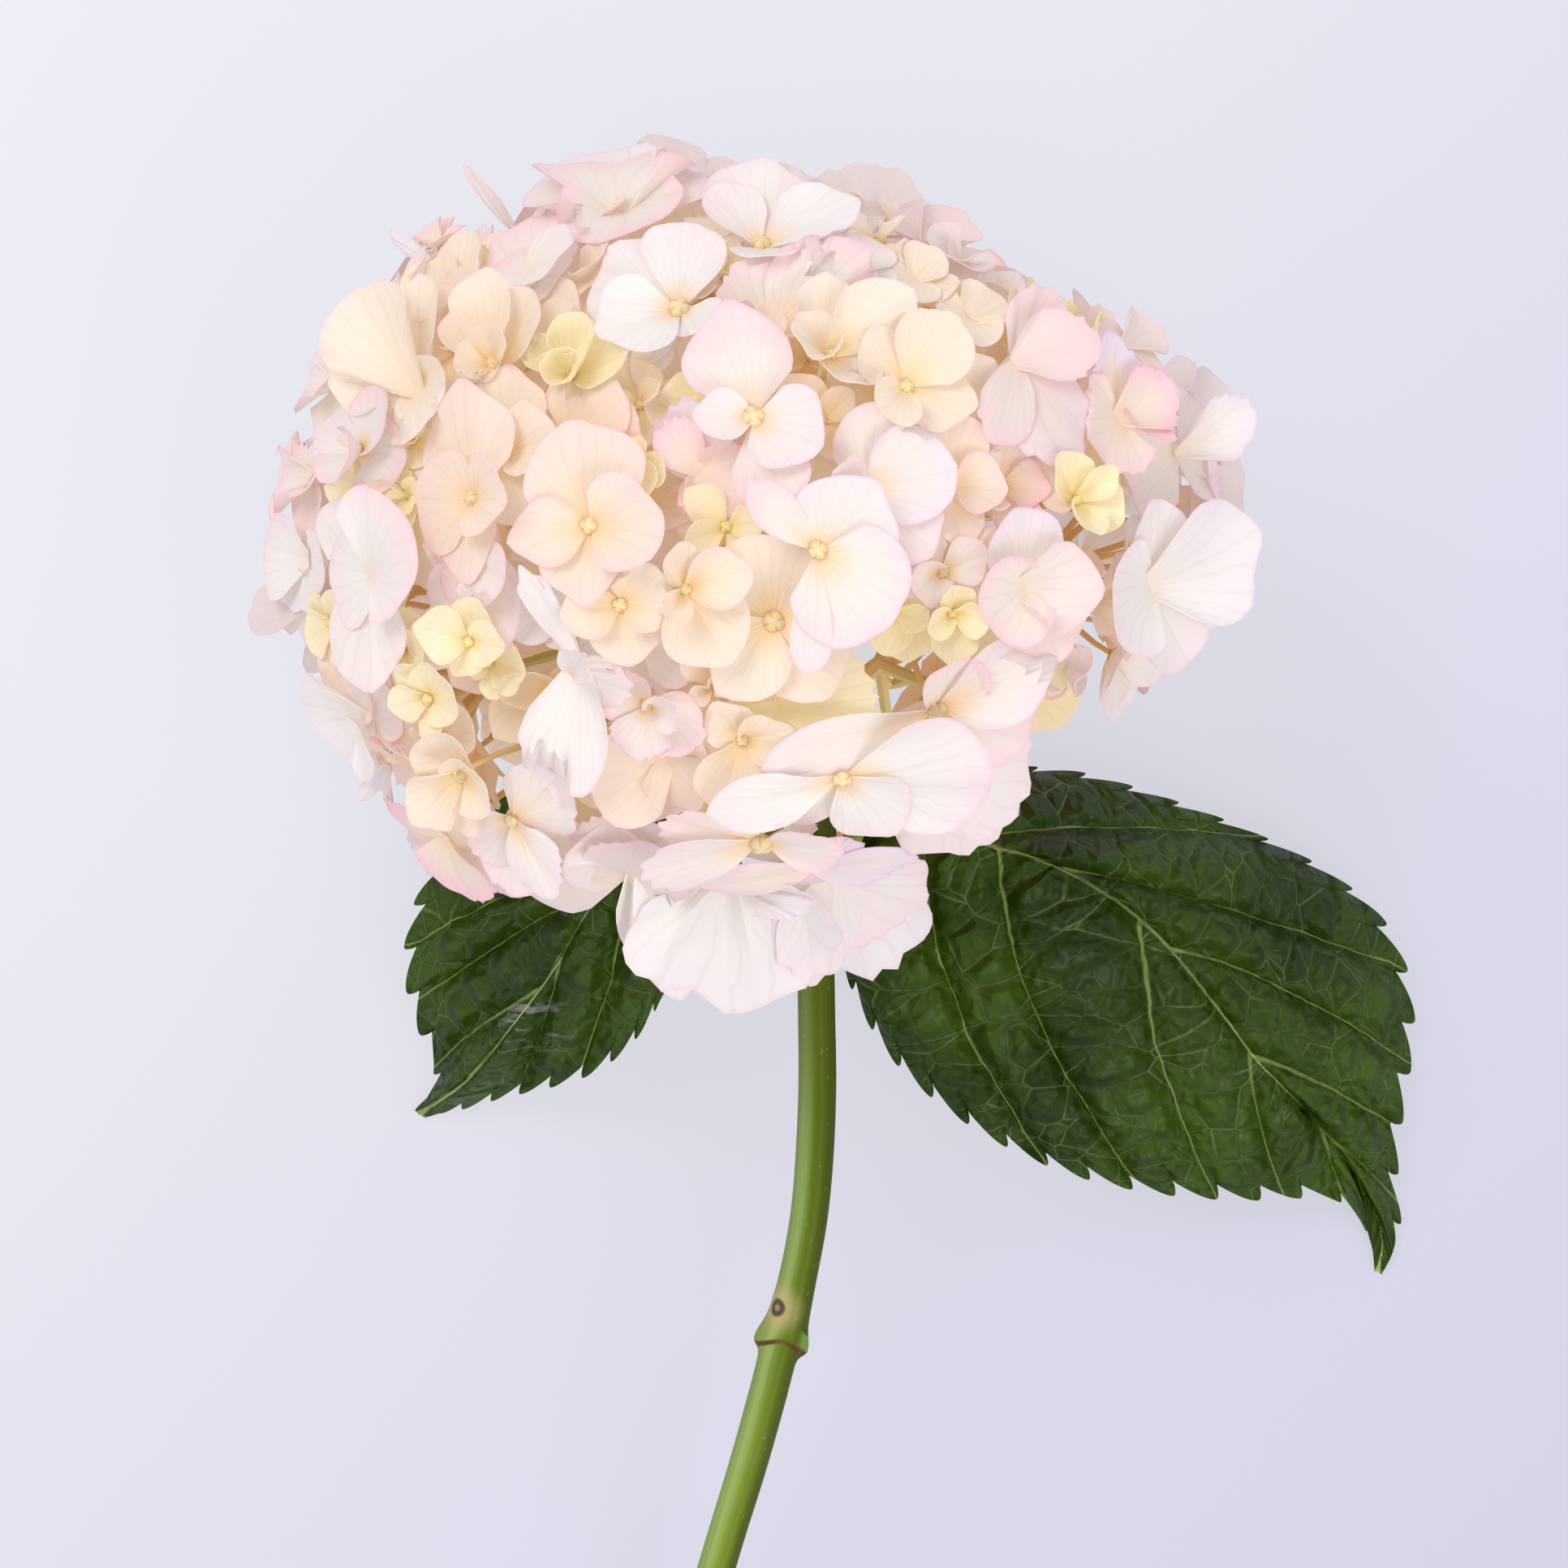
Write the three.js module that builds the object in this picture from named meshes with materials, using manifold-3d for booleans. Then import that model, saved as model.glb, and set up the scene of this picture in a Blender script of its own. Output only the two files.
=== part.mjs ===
// A cut mophead hydrangea lying on a table: one stem, an opposite pair of leaves and one flower head.
// Millimetres, +Z up. Seen from above, +X is to the right and +Y points to the top of the head.
// The table is the plane z = 0, and the origin lies under the middle of the whole flower.
import * as THREE from "three";
import { mergeVertices } from "three/addons/utils/BufferGeometryUtils.js";
import Module from "manifold-3d";

// The picture: a square seen from straight above, whose middle is the middle of the view.
const PICTURE_SIDE = 1932; // pixels
const MM_PER_PIXEL = 0.15; // at the height of the middle of the head
const EYE_DISTANCE = 1500; // from the middle of the head up to the eye
const FOOTPRINT_MIDDLE = [12.2, -75.8]; // of the whole flower, from the middle of the picture

// The flower head: its florets' eyes lie on this ellipsoid, round a smaller core of branches.
const HEAD_PIXEL = [930, 690];
const HEAD_MIDDLE_Z = 70;
const HEAD_HALF = new THREE.Vector3(85, 76, 66);
const CORE_OFFSET = new THREE.Vector3(5, 12, 0);
const CORE_HALF = new THREE.Vector3(54, 48, 44);
const STALK_RADIUS = 1.2;
const CROWN_RADIUS = 3.6;
const CROWN_LENGTH = 14;

// Thicknesses of blades, and the gap that is left where two pieces meet.
const SEPAL_THICKNESS = 0.8;
const LEAF_THICKNESS = 0.8;
const JOINT_GAP = 0.3;
const SHORTEST_EDGE = 0.03; // shorter ones are closed up where pieces are fused
const FLATTEST_HEIGHT = 0.01; // of a triangle over its longest edge
const MENDING_PASSES = 4;

// The stem: centre line as [pixel x, pixel y, height], from the fork under the head to the cut end.
const STEM_RADIUS = 3.4;
const STEM_LINE = [
  [1003, 935, 67], [1003, 1040, 63.5], [1006, 1240, 57], [1007, 1340, 53],
  [1003, 1434, 49.5], [996, 1504, 47], [983, 1574, 44.5], [972, 1620, 43],
  [959, 1667, 41], [947, 1714, 39.5], [921, 1807, 36], [892, 1901, 32.5],
  [858, 2020, 28], [828, 2150, 23], [808, 2300, 17.5], [799, 2450, 12],
  [797, 2600, 6.5], [799, 2700, 3.4],
];
const STEM_SIDES = 10;
const STEM_STEPS = 44;
const BARE_NODE_PIXEL_Y = 1650; // the joint whose two leaves were stripped
const LEAF_NODE_PIXEL_Y = 1045; // the joint that carries the pair of leaves
const BARE_NODE_SWELLING = 1.9;
const LEAF_NODE_SWELLING = 0.9;

// The leaves: midrib, margins and stalk as [pixel x, pixel y, height], each from the base to the tip.
const LEAF_COLUMNS = [-1, -0.8, -0.4, 0, 0.4, 0.8, 1]; // shares of the way from the midrib to each margin
const LEAF_SWEEP = 0.45; // how far a side vein runs forward on its way to the margin
const LEAF_ARCH = 0.06; // of the half width
const QUILT_HEIGHT = 1.2; // between two side veins
const TOOTH_DEPTH = 2.8;
const TOOTH_SLANT = 1.6; // of a tooth's tip towards the tip of the leaf
const RIB_DEPTH = 2.4; // of the midrib under the base of the blade
const LEAF_STALK_RADIUS = 2.2;
const RIGHT_LEAF = {
  midrib: [[1066, 992, 51], [1204, 1035, 51], [1306, 1068, 47], [1408, 1135, 41], [1500, 1242, 33],
    [1546, 1303, 28], [1615, 1374, 19], [1672, 1452, 9], [1703, 1520, 3.5], [1698, 1566, 1.2]],
  left: [[1070, 978, 50], [1130, 945, 42], [1263, 948, 32], [1332, 956, 28], [1444, 990, 22],
    [1554, 1034, 16], [1635, 1078, 12], [1695, 1130, 9], [1728, 1200, 8], [1735, 1270, 8],
    [1728, 1330, 8], [1718, 1400, 6.5], [1716, 1450, 5], [1720, 1500, 3], [1716, 1540, 1.8],
    [1702, 1570, 1]],
  right: [[1062, 1004, 50], [1034, 1060, 48], [1032, 1140, 45], [1056, 1220, 42], [1104, 1300, 38],
    [1180, 1368, 34], [1266, 1418, 30], [1350, 1448, 26], [1440, 1464, 21.5], [1530, 1470, 17],
    [1600, 1468, 12.5], [1645, 1472, 9], [1674, 1496, 6], [1690, 1532, 3], [1694, 1566, 1]],
  stalk: [[1044, 1052, 61.5], [1056, 1018, 55], [1080, 994, 50.5], [1130, 1008, 50]],
  teeth: 17,
  veins: 7,
};
const LEFT_LEAF = {
  midrib: [[924, 992, 50], [830, 1016, 50], [737, 1106, 45], [685, 1191, 37], [634, 1260, 28],
    [576, 1330, 14], [516, 1372, 1.6]],
  left: [[926, 1006, 50], [914, 1060, 48], [876, 1136, 43], [824, 1210, 36], [780, 1276, 29],
    [732, 1314, 23], [680, 1332, 18], [630, 1344, 12], [576, 1360, 5], [524, 1376, 1.2]],
  right: [[920, 978, 50], [820, 948, 46], [700, 952, 38], [600, 998, 29], [536, 1074, 22],
    [510, 1140, 18], [506, 1200, 15], [520, 1260, 11], [540, 1310, 7], [532, 1346, 3.5],
    [512, 1368, 1.2]],
  stalk: [[962, 1052, 61.5], [950, 1018, 55], [924, 994, 49.5], [870, 1004, 48.5]],
  teeth: 13,
  veins: 6,
};

// Florets of the side that faces up. Each row is [pixel x, pixel y of the eye, sepal length,
// depth under the head's surface, opening in degrees from 0 flat, lean to the right, lean to the top],
// and then the tips of the four sepals as [pixels to the right, pixels down] from the eye.
const UPPER_FLORETS = [
  [928, 515, 17.5, -4, 10, 0, 0, [[-28, -117], [76, 35], [34, 98], [-68, 0]]],
  [1007, 678, 19, -5, 10, 0, 0, [[62, -68], [82, 85], [-74, -72], [-12, 142]]],
  [953, 765, 18, 2, 8, 0, 0, [[-28, -92], [105, -15], [62, 84], [-60, 78]]],
  [842, 727, 14, -1, 30, 0.3, 0, [[0, -38], [74, -26], [50, 78], [-18, 36]]],
  [765, 745, 12.5, -1, 14, 0, 0, [[-28, -48], [60, -22], [12, 66], [-66, 12]]],
  [727, 648, 17, -2, 10, 0, 0, [[-18, -112], [84, -14], [-8, 82], [-84, 18]]],
  [585, 615, 16.5, -3, 9, -0.34, 0, [[-20, -122], [38, 6], [-12, 84], [-66, 0]]],
  [625, 560, 14.5, 0, 12, -0.1, 0, [[-2, -94], [58, -18], [28, 62], [-48, -80]]],
  [838, 383, 17, -3, 10, 0, 0, [[-48, -98], [22, -92], [26, 20], [-88, 28]]],
  [862, 583, 14, 5, 15, 0, 0, [[-18, -82], [68, 38], [-4, 50], [-42, -55]]],
  [1020, 440, 15, -1, 35, 0.15, 0.1, [[2, -90], [94, -72], [38, 22], [-42, -22]]],
  [1115, 478, 12.5, -2, 15, 0.1, 0.05, [[-32, -68], [54, -80], [75, 12], [-26, 34]]],
  [1067, 605, 16, 1, 15, 0, 0, [[14, -98], [103, -28], [72, 70], [-43, -15]]],
  [1165, 598, 13.5, 4, 20, 0.1, 0, [[8, -78], [68, 5], [22, 70], [-40, 10]]],
  [1232, 600, 13, 7, 25, 0.15, 0, [[15, -62], [52, 5], [18, 58], [-40, 0]]],
  [1012, 520, 12, 6, 25, 0, 0, [[-38, -50], [38, -34], [28, 35], [-30, 20]]],
  [895, 650, 12, 4, 20, 0, 0, [[-40, -38], [48, -8], [30, 34], [-48, 20]]],
  [1160, 706, 12, 3, 14, 0, 0, [[-52, -24], [50, -24], [44, 26], [-38, 26]]],
  [1208, 690, 9.5, 4, 20, 0, 0, [[34, -28], [28, 24], [-22, 26], [-28, -16]]],
  [790, 500, 12, 6, 25, 0, 0, [[-20, -50], [28, -20], [10, 44], [-40, 0]]],
  [785, 575, 9, 3, 25, 0, 0, [[-42, -16], [6, -36], [28, 10], [16, 34]]],
  [712, 545, 14, 3, 18, 0, 0.05, [[-52, -44], [48, -70], [62, 20], [-20, 22]]],
  [704, 464, 13, 1, 42, 0, 0.05, [[-50, -44], [16, -72], [62, -30], [0, 16]]],
  [945, 415, 17, 1, 28, 0, 0, [[-22, -88], [106, -96], [40, -28], [-42, -28]]],
  [930, 442, 10, 0, 35, 0, 0, [[-28, -54], [20, -66], [34, -14], [-22, 8]]],
  [938, 305, 16, 0, 22, 0, 0.15, [[8, -100], [108, -50], [12, 12], [-54, -72]]],
  [888, 322, 6, 3, 40, 0, 0, [[-16, -14], [14, -18], [16, 10], [-14, 14]]],
  [872, 300, 10, 6, 25, 0, 0.1, [[-22, -50], [20, -30], [16, 16], [-26, 10]]],
  [765, 262, 18, 2, 8, 0, 0.25, [[-78, -62], [28, -68], [102, -28], [16, 34]]],
  [850, 238, 13, 16, 10, 0, 0.2, [[-46, -68], [26, -30], [30, 20], [-30, 10]]],
  [1058, 290, 15, 12, 12, 0, 0.2, [[10, -95], [40, -30], [6, 12], [-42, -42]]],
  [1140, 312, 10.5, 10, 18, 0.1, 0.2, [[-5, -60], [40, -38], [8, 12], [-44, -22]]],
  [1082, 300, 9, 2, 28, 0, 0.05, [[-26, -18], [24, -14], [18, 24], [-16, 24]]],
  [1180, 325, 9.5, 4, 18, 0.1, 0.1, [[32, -22], [14, 18], [-26, 20], [-34, -20]]],
  [1128, 345, 10, 1, 28, 0.05, 0.1, [[-26, -34], [26, -30], [22, 26], [-24, 24]]],
  [1190, 392, 11, 1, 22, 0.1, 0.05, [[-38, -20], [36, -24], [34, 20], [-18, 32]]],
  [1060, 335, 11, -1, 15, 0, 0.05, [[-34, -24], [24, -34], [28, 24], [-30, 28]]],
  [1140, 386, 9, 2, 18, 0, 0, [[-22, -26], [26, -20], [14, 20], [-24, 12]]],
  [558, 395, 14.5, 3, 10, 0, 0.1, [[4, -102], [28, -30], [-30, 12], [-40, -52]]],
  [655, 345, 14, 1, 18, 0, 0.1, [[-5, -80], [54, -28], [14, 24], [-42, -24]]],
  [600, 330, 12, 6, 18, 0, 0.1, [[-30, -34], [10, -40], [25, 20], [-25, 25]]],
  [668, 420, 12, 3, 28, 0, 0.05, [[15, -76], [42, -32], [5, 22], [-32, -26]]],
  [720, 350, 12, 4, 18, 0, 0.1, [[-6, -48], [34, -20], [22, 40], [-30, 30]]],
  [740, 300, 12, 6, 18, 0, 0.15, [[-44, -24], [24, -32], [34, 22], [-20, 30]]],
  [610, 452, 15, 0, 42, 0, 0.1, [[-46, -66], [-4, -110], [42, -68], [0, 12]]],
  [564, 430, 13, 2, 18, -0.1, 0, [[-38, -72], [22, -22], [-15, 66], [-60, 5]]],
  [520, 482, 17, 1, 36, -0.1, 0.1, [[-10, -122], [22, 36], [-96, -12], [-78, -112]]],
  [540, 302, 7, 12, 18, -0.1, 0.2, [[0, -30], [27, -10], [4, 12], [-27, -8]]],
  [445, 555, 12, 0, 32, -0.05, 0, [[-50, -28], [42, -50], [48, 12], [-12, 34]]],
  [505, 612, 9, 5, 28, 0, 0, [[-10, -38], [16, 0], [-10, 36], [-20, 0]]],
  [510, 545, 8, 4, 28, 0, 0, [[-20, -16], [18, -20], [16, 18], [-16, 16]]],
  [463, 708, 17, -1, 22, -0.15, 0, [[-22, -88], [46, -45], [-10, 124], [-58, -10]]],
  [592, 692, 15.5, 1, 8, -0.1, 0, [[10, -40], [40, 20], [16, 98], [-38, 35]]],
  [412, 768, 8.5, 3, 24, 0, 0, [[-20, -32], [24, -12], [12, 32], [-26, 18]]],
  [410, 475, 10, 6, 14, -0.1, 0, [[-22, -36], [22, -24], [6, 60], [-38, 28]]],
  [385, 590, 12, 6, 14, -0.1, 0, [[-40, -36], [22, -32], [0, 62], [-46, 22]]],
  [385, 690, 11, 5, 14, -0.1, 0, [[16, -32], [16, 32], [-44, 34], [-55, -20]]],
  [395, 735, 13, 8, 8, -0.1, -0.1, [[-20, -55], [12, 12], [-10, 55], [-80, 22]]],
  [450, 840, 12, 4, 18, -0.1, -0.1, [[10, -36], [16, 22], [-30, 20], [-54, -26]]],
  [455, 885, 13, 3, 8, -0.1, -0.2, [[15, -32], [16, 42], [-22, 55], [-60, 5]]],
  [500, 800, 9, 3, 28, 0, 0, [[10, -40], [30, 10], [6, 42], [-22, 10]]],
  [530, 860, 11, 0, 28, 0, 0, [[-20, -36], [34, -14], [10, 32], [-44, 10]]],
  [545, 905, 10.5, 4, 18, 0, 0, [[22, -26], [16, 26], [-12, 42], [-26, -6]]],
  [515, 935, 12, 5, 18, 0, -0.1, [[16, -36], [26, 16], [-22, 26], [-36, -30]]],
  [480, 945, 10, 6, 12, -0.1, -0.2, [[10, -22], [6, 50], [-40, 36], [-32, 6]]],
  [580, 790, 9.5, -2, 14, 0, 0, [[8, -42], [43, 5], [-20, 35], [-58, -16]]],
  [605, 815, 9.5, 4, 24, 0, 0, [[12, -26], [46, 14], [12, 33], [-26, 10]]],
  [1252, 448, 16.5, -2, 26, 0, 0, [[44, -86], [88, -34], [56, 112], [-24, 92]]],
  [1375, 515, 13.5, 0, 28, 0.1, 0, [[-12, -86], [58, -42], [44, 34], [-34, 34]]],
  [1385, 425, 9, 5, 24, 0, 0.05, [[-36, -24], [34, -16], [36, 38], [-26, 30]]],
  [1448, 558, 13, 0, 24, 0.1, 0, [[32, -54], [84, -50], [50, 30], [-64, 36]]],
  [1400, 575, 9.5, 4, 20, 0, 0, [[-30, -26], [25, -30], [30, 20], [-18, 26]]],
  [1323, 617, 9.5, -3, 34, 0.1, 0, [[-14, -44], [46, -40], [56, 20], [6, 42]]],
  [1448, 700, 19, -2, 14, 0.05, 0, [[-22, -104], [98, -48], [-6, 124], [-72, 40]]],
  [1258, 725, 14, -1, 18, 0.1, 0, [[-5, -84], [90, 0], [42, 72], [-46, 42]]],
  [1171, 755, 9, 0, 38, 0, -0.1, [[6, -18], [48, 8], [6, 54], [-30, 22]]],
  [1110, 755, 10, 4, 32, 0, 0, [[-5, -36], [34, 14], [8, 54], [-38, 36]]],
  [1303, 825, 9, 8, 20, 0.05, -0.05, [[20, -22], [6, 28], [-22, 14], [-18, -20]]],
  [1153, 875, 21, -1, 14, 0.05, -0.1, [[30, -46], [128, -62], [108, 34], [-184, 58]]],
  [1037, 958, 20, -5, 9, 0, -0.1, [[156, -44], [96, 52], [-52, 66], [-98, 32]]],
  [1172, 945, 18, 5, 9, 0.05, -0.05, [[70, -62], [90, 16], [22, 98], [-52, 60]]],
  [938, 1036, 18, -4, 12, 0, -0.4, [[-112, -14], [88, 4], [24, 26], [-134, 34]]],
  [905, 1078, 20, 6, 8, 0, -0.1, [[-92, 20], [92, 8], [62, 128], [-22, 156]]],
  [1026, 1066, 20, 6, 8, 0, -0.1, [[-70, 6], [112, 64], [52, 146], [-20, 150]]],
  [1000, 1066, 16, -1, 4, 0, -0.45, [[30, -24], [106, -12], [50, 22], [-124, 22]]],
  [790, 1045, 19, 4, 8, 0, -0.1, [[36, -22], [60, 150], [-22, 42], [-46, -26]]],
  [770, 1072, 16, 8, 8, 0, -0.1, [[-28, -50], [40, -30], [12, 26], [-112, 42]]],
  [632, 1008, 14.5, -1, 18, 0, -0.1, [[62, -26], [54, 82], [-4, 92], [-46, 30]]],
  [550, 1035, 14, 4, 14, -0.1, -0.1, [[30, -40], [32, 65], [-20, 42], [-58, -14]]],
  [570, 952, 13, -2, 24, -0.1, -0.1, [[-18, -34], [33, 8], [6, 73], [-52, 52]]],
  [715, 818, 20, -1, 8, 0, -0.1, [[-60, -100], [20, -26], [60, 16], [-16, 148]]],
  [800, 868, 14, 1, 14, 0, -0.1, [[-46, -24], [38, 6], [56, 38], [-8, 58]]],
  [822, 935, 15, 3, 14, 0, -0.1, [[30, -22], [32, 48], [-40, 75], [-92, 28]]],
  [877, 845, 10.5, 4, 28, 0, 0, [[-8, -40], [25, -10], [2, 92], [-30, 22]]],
  [915, 910, 11.5, 1, 18, 0, -0.1, [[-28, -28], [52, -14], [28, 42], [-28, 80]]],
  [962, 872, 16, 6, 14, 0, -0.1, [[-50, -12], [104, -40], [98, 16], [-30, 60]]],
  [880, 975, 12, 5, 18, 0, -0.1, [[-30, -20], [40, -14], [48, 30], [-20, 34]]],
  [700, 960, 13, 9, 12, 0, -0.1, [[-20, -44], [44, 0], [18, 55], [-40, 30]]],
];
const FACING = 0.12; // how much these florets turn up, towards the light
const LEAST_FACING = 0.4; // height of a unit normal, for the ones that look sideways

// Corners of one sepal's outline, as [radians from its middle line, share of its length].
const LARGE_SEPAL = [[-0.5, 0.85], [0, 1.04], [0.5, 0.85]];
const SMALL_SEPAL = [[-0.33, 1], [0.33, 1]];
const LARGE_LENGTH = 13; // sepals from this length on have the outline of a large one
const NOTCH_SHARE = 0.58; // of the sepals' length, where two of them meet at a right angle
const STEEPEST_RISE = 0.8; // of a sepal's tip over the eye, for each unit outward

// Florets of the side that lies down, spread evenly by the golden angle.
const LOWER_SPREAD = 92; // points round the whole head, of which those of the lower side are used
const LOWER_SEPAL = [15.5, 19]; // shortest and longest
const LOWER_CLIMB = 0.3; // radians

// The florets that the head rests on, pressed flat: [x, y] from the head's middle.
const RESTING_FLORETS = [[0, 38], [-33, 8], [34, 6], [2, -22]];
const RESTING_SEPAL = 16.5;
const LEAST_CLEARANCE = 0.5; // of every other floret over the table

const wasm = await Module();
wasm.setup();

// A repeatable stream of numbers from 0 to 1.
function randomStream(seed) {
  let state = seed >>> 0;
  return () => {
    state = (state * 1664525 + 1013904223) >>> 0;
    return state / 4294967296;
  };
}

// The point at height z that shows at a pixel of the picture.
function seen([x, y, z]) {
  const scale = (MM_PER_PIXEL * (EYE_DISTANCE + HEAD_MIDDLE_Z - z)) / EYE_DISTANCE;
  return new THREE.Vector3((x - PICTURE_SIDE / 2) * scale, (PICTURE_SIDE / 2 - y) * scale, z);
}

function smoothLine(points) {
  return new THREE.CatmullRomCurve3(points.map(seen), false, "centripetal");
}

// Joins the vertices that a three.js geometry repeats along its seams.
function welded(geometry) {
  geometry.deleteAttribute("uv");
  geometry.deleteAttribute("normal");
  return mergeVertices(geometry);
}

function moveVertices(geometry, place) {
  const position = geometry.getAttribute("position");
  for (let i = 0; i < position.count; i++) {
    const p = place(new THREE.Vector3().fromBufferAttribute(position, i));
    position.setXYZ(i, p.x, p.y, p.z);
  }
  return geometry;
}

function toSolid(geometry) {
  return new wasm.Manifold(
    new wasm.Mesh({
      numProp: 3,
      vertProperties: new Float32Array(geometry.getAttribute("position").array),
      triVerts: new Uint32Array(geometry.index.array),
    }),
  );
}

function toGeometry(solid) {
  const mesh = solid.getMesh();
  const geometry = new THREE.BufferGeometry();
  geometry.setAttribute("position", new THREE.BufferAttribute(mesh.vertProperties, 3));
  geometry.setIndex(new THREE.BufferAttribute(mesh.triVerts, 1));
  geometry.computeVertexNormals();
  return geometry;
}

// Joins solids into one. Closed hollows between them are filled, and loose scraps are dropped.
function fused(solids) {
  const bodies = wasm.Manifold.union(solids).decompose();
  return withoutSlivers(bodies.sort((a, b) => b.volume() - a.volume())[0]);
}

// Triangles whose corners know which triangles they are in, so that the skin stays closed
// while it is mended.
class Skin {
  constructor(geometry) {
    const position = geometry.getAttribute("position");
    this.geometry = geometry;
    this.points = Array.from({ length: position.count }, (_, i) =>
      new THREE.Vector3().fromBufferAttribute(position, i),
    );
    this.around = this.points.map(() => new Set());
    this.triangles = [];
    for (let i = 0; i < geometry.index.count; i += 3) {
      const triangle = [...geometry.index.array.slice(i, i + 3)];
      triangle.forEach((v) => this.around[v].add(triangle));
      this.triangles.push(triangle);
    }
  }

  neighbours(v) {
    return new Set([...this.around[v]].flat().filter((w) => w !== v));
  }

  edgeLength([p, q]) {
    return this.points[p].distanceTo(this.points[q]);
  }

  replace(triangle, corners) {
    triangle.forEach((v) => this.around[v].delete(triangle));
    triangle.splice(0, 3, ...corners);
    triangle.forEach((v) => this.around[v].add(triangle));
  }

  // Moves one end of an edge onto the other, and drops the two triangles along it.
  closeUp(kept, lost) {
    const shared = [...this.neighbours(kept)].filter((v) => this.neighbours(lost).has(v));
    if (shared.length !== 2) return;
    for (const triangle of [...this.around[lost]]) {
      const corners = triangle.map((v) => (v === lost ? kept : v));
      this.replace(triangle, triangle.includes(kept) ? [] : corners);
    }
  }

  // Gives the two triangles along the edge from a to b their other diagonal.
  turnEdge(triangle, [a, b, c]) {
    const other = [...this.around[a]].find((t) => t !== triangle && t.includes(b));
    const d = other.find((v) => v !== a && v !== b);
    if (this.neighbours(c).has(d)) return;
    this.replace(triangle, [a, d, c]);
    this.replace(other, [d, b, c]);
  }

  mend(triangle) {
    const [a, b, c] = triangle;
    const edges = [[a, b, c], [b, c, a], [c, a, b]];
    edges.sort((e, f) => this.edgeLength(e) - this.edgeLength(f));
    const [shortest, , longest] = edges;
    const shape = new THREE.Triangle(this.points[a], this.points[b], this.points[c]);
    const height = (2 * shape.getArea()) / this.edgeLength(longest);
    if (this.edgeLength(shortest) < SHORTEST_EDGE) this.closeUp(shortest[0], shortest[1]);
    else if (height < FLATTEST_HEIGHT) this.turnEdge(triangle, longest);
  }
}

// Closes up the shortest edges of a solid and turns the longest edge of its flattest triangles,
// wherever that keeps its surface closed.
function withoutSlivers(solid) {
  const skin = new Skin(toGeometry(solid));
  for (let pass = 0; pass < MENDING_PASSES; pass++) {
    for (const triangle of skin.triangles) if (triangle.length === 3) skin.mend(triangle);
  }
  skin.geometry.setIndex(skin.triangles.flat());
  return toSolid(welded(skin.geometry));
}

// Gives a bent sheet its thickness: both faces keep the sheet's triangles, and a band closes the edge.
// ridges holds how much further each vertex of the underside stands out.
function thicken(sheet, thickness, ridges = []) {
  sheet.computeVertexNormals();
  const position = sheet.getAttribute("position");
  const normal = sheet.getAttribute("normal");
  const count = position.count;
  const points = [];
  for (const side of [1, -1]) {
    for (let i = 0; i < count; i++) {
      const ridge = side < 0 ? (ridges[i] ?? 0) : 0;
      const p = new THREE.Vector3().fromBufferAttribute(position, i);
      const n = new THREE.Vector3().fromBufferAttribute(normal, i);
      points.push(...p.addScaledVector(n, side * (thickness / 2 + ridge)).toArray());
    }
  }
  const triangles = [];
  const edges = new Map();
  for (let i = 0; i < sheet.index.count; i += 3) {
    const [a, b, c] = sheet.index.array.slice(i, i + 3);
    triangles.push(a, b, c, a + count, c + count, b + count);
    for (const [p, q] of [[a, b], [b, c], [c, a]]) {
      if (!edges.delete(`${q},${p}`)) edges.set(`${p},${q}`, [p, q]);
    }
  }
  for (const [p, q] of edges.values()) triangles.push(p, p + count, q, q, p + count, q + count);
  const shell = new THREE.BufferGeometry();
  shell.setAttribute("position", new THREE.Float32BufferAttribute(points, 3));
  shell.setIndex(triangles);
  return shell;
}

// A round rod along a curve. radiusAt gives its radius from the share of the length and the angle.
function bentRod(curve, radiusAt, sides, steps) {
  const rod = welded(new THREE.CylinderGeometry(1, 1, 1, sides, steps));
  const frames = curve.computeFrenetFrames(steps, false);
  return moveVertices(rod, (p) => {
    const along = 0.5 - p.y;
    const step = Math.round(along * steps);
    const reach = Math.hypot(p.x, p.z);
    const angle = Math.atan2(p.z, p.x);
    const radius = reach * radiusAt(along, angle);
    return curve
      .getPointAt(along)
      .addScaledVector(frames.normals[step], radius * Math.cos(angle))
      .addScaledVector(frames.binormals[step], radius * Math.sin(angle));
  });
}

// 1 at a place along a curve, falling to 0 beyond the width on both sides of it.
function bump(along, place, width) {
  return Math.exp(-(((along - place) / width) ** 2));
}

// The stem

function shareAtPixelY(curve, pixelY) {
  const target = seen([0, pixelY, HEAD_MIDDLE_Z]).y;
  const samples = curve.getSpacedPoints(500);
  const distances = samples.map((p) => Math.abs(p.y - target));
  return distances.indexOf(Math.min(...distances)) / 500;
}

function makeStem() {
  const line = smoothLine(STEM_LINE);
  const bareNode = shareAtPixelY(line, BARE_NODE_PIXEL_Y);
  const leafNode = shareAtPixelY(line, LEAF_NODE_PIXEL_Y);
  const radiusAt = (along, angle) => {
    const twoSided = 0.35 + 0.65 * Math.cos(angle) ** 2; // the scars of a pair of leaves face each other
    const bare = BARE_NODE_SWELLING * bump(along, bareNode, 0.014) * twoSided;
    const leafy = LEAF_NODE_SWELLING * bump(along, leafNode, 0.02);
    return STEM_RADIUS + bare + leafy;
  };
  return toSolid(bentRod(line, radiusAt, STEM_SIDES, STEM_STEPS));
}

// The leaves

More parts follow.
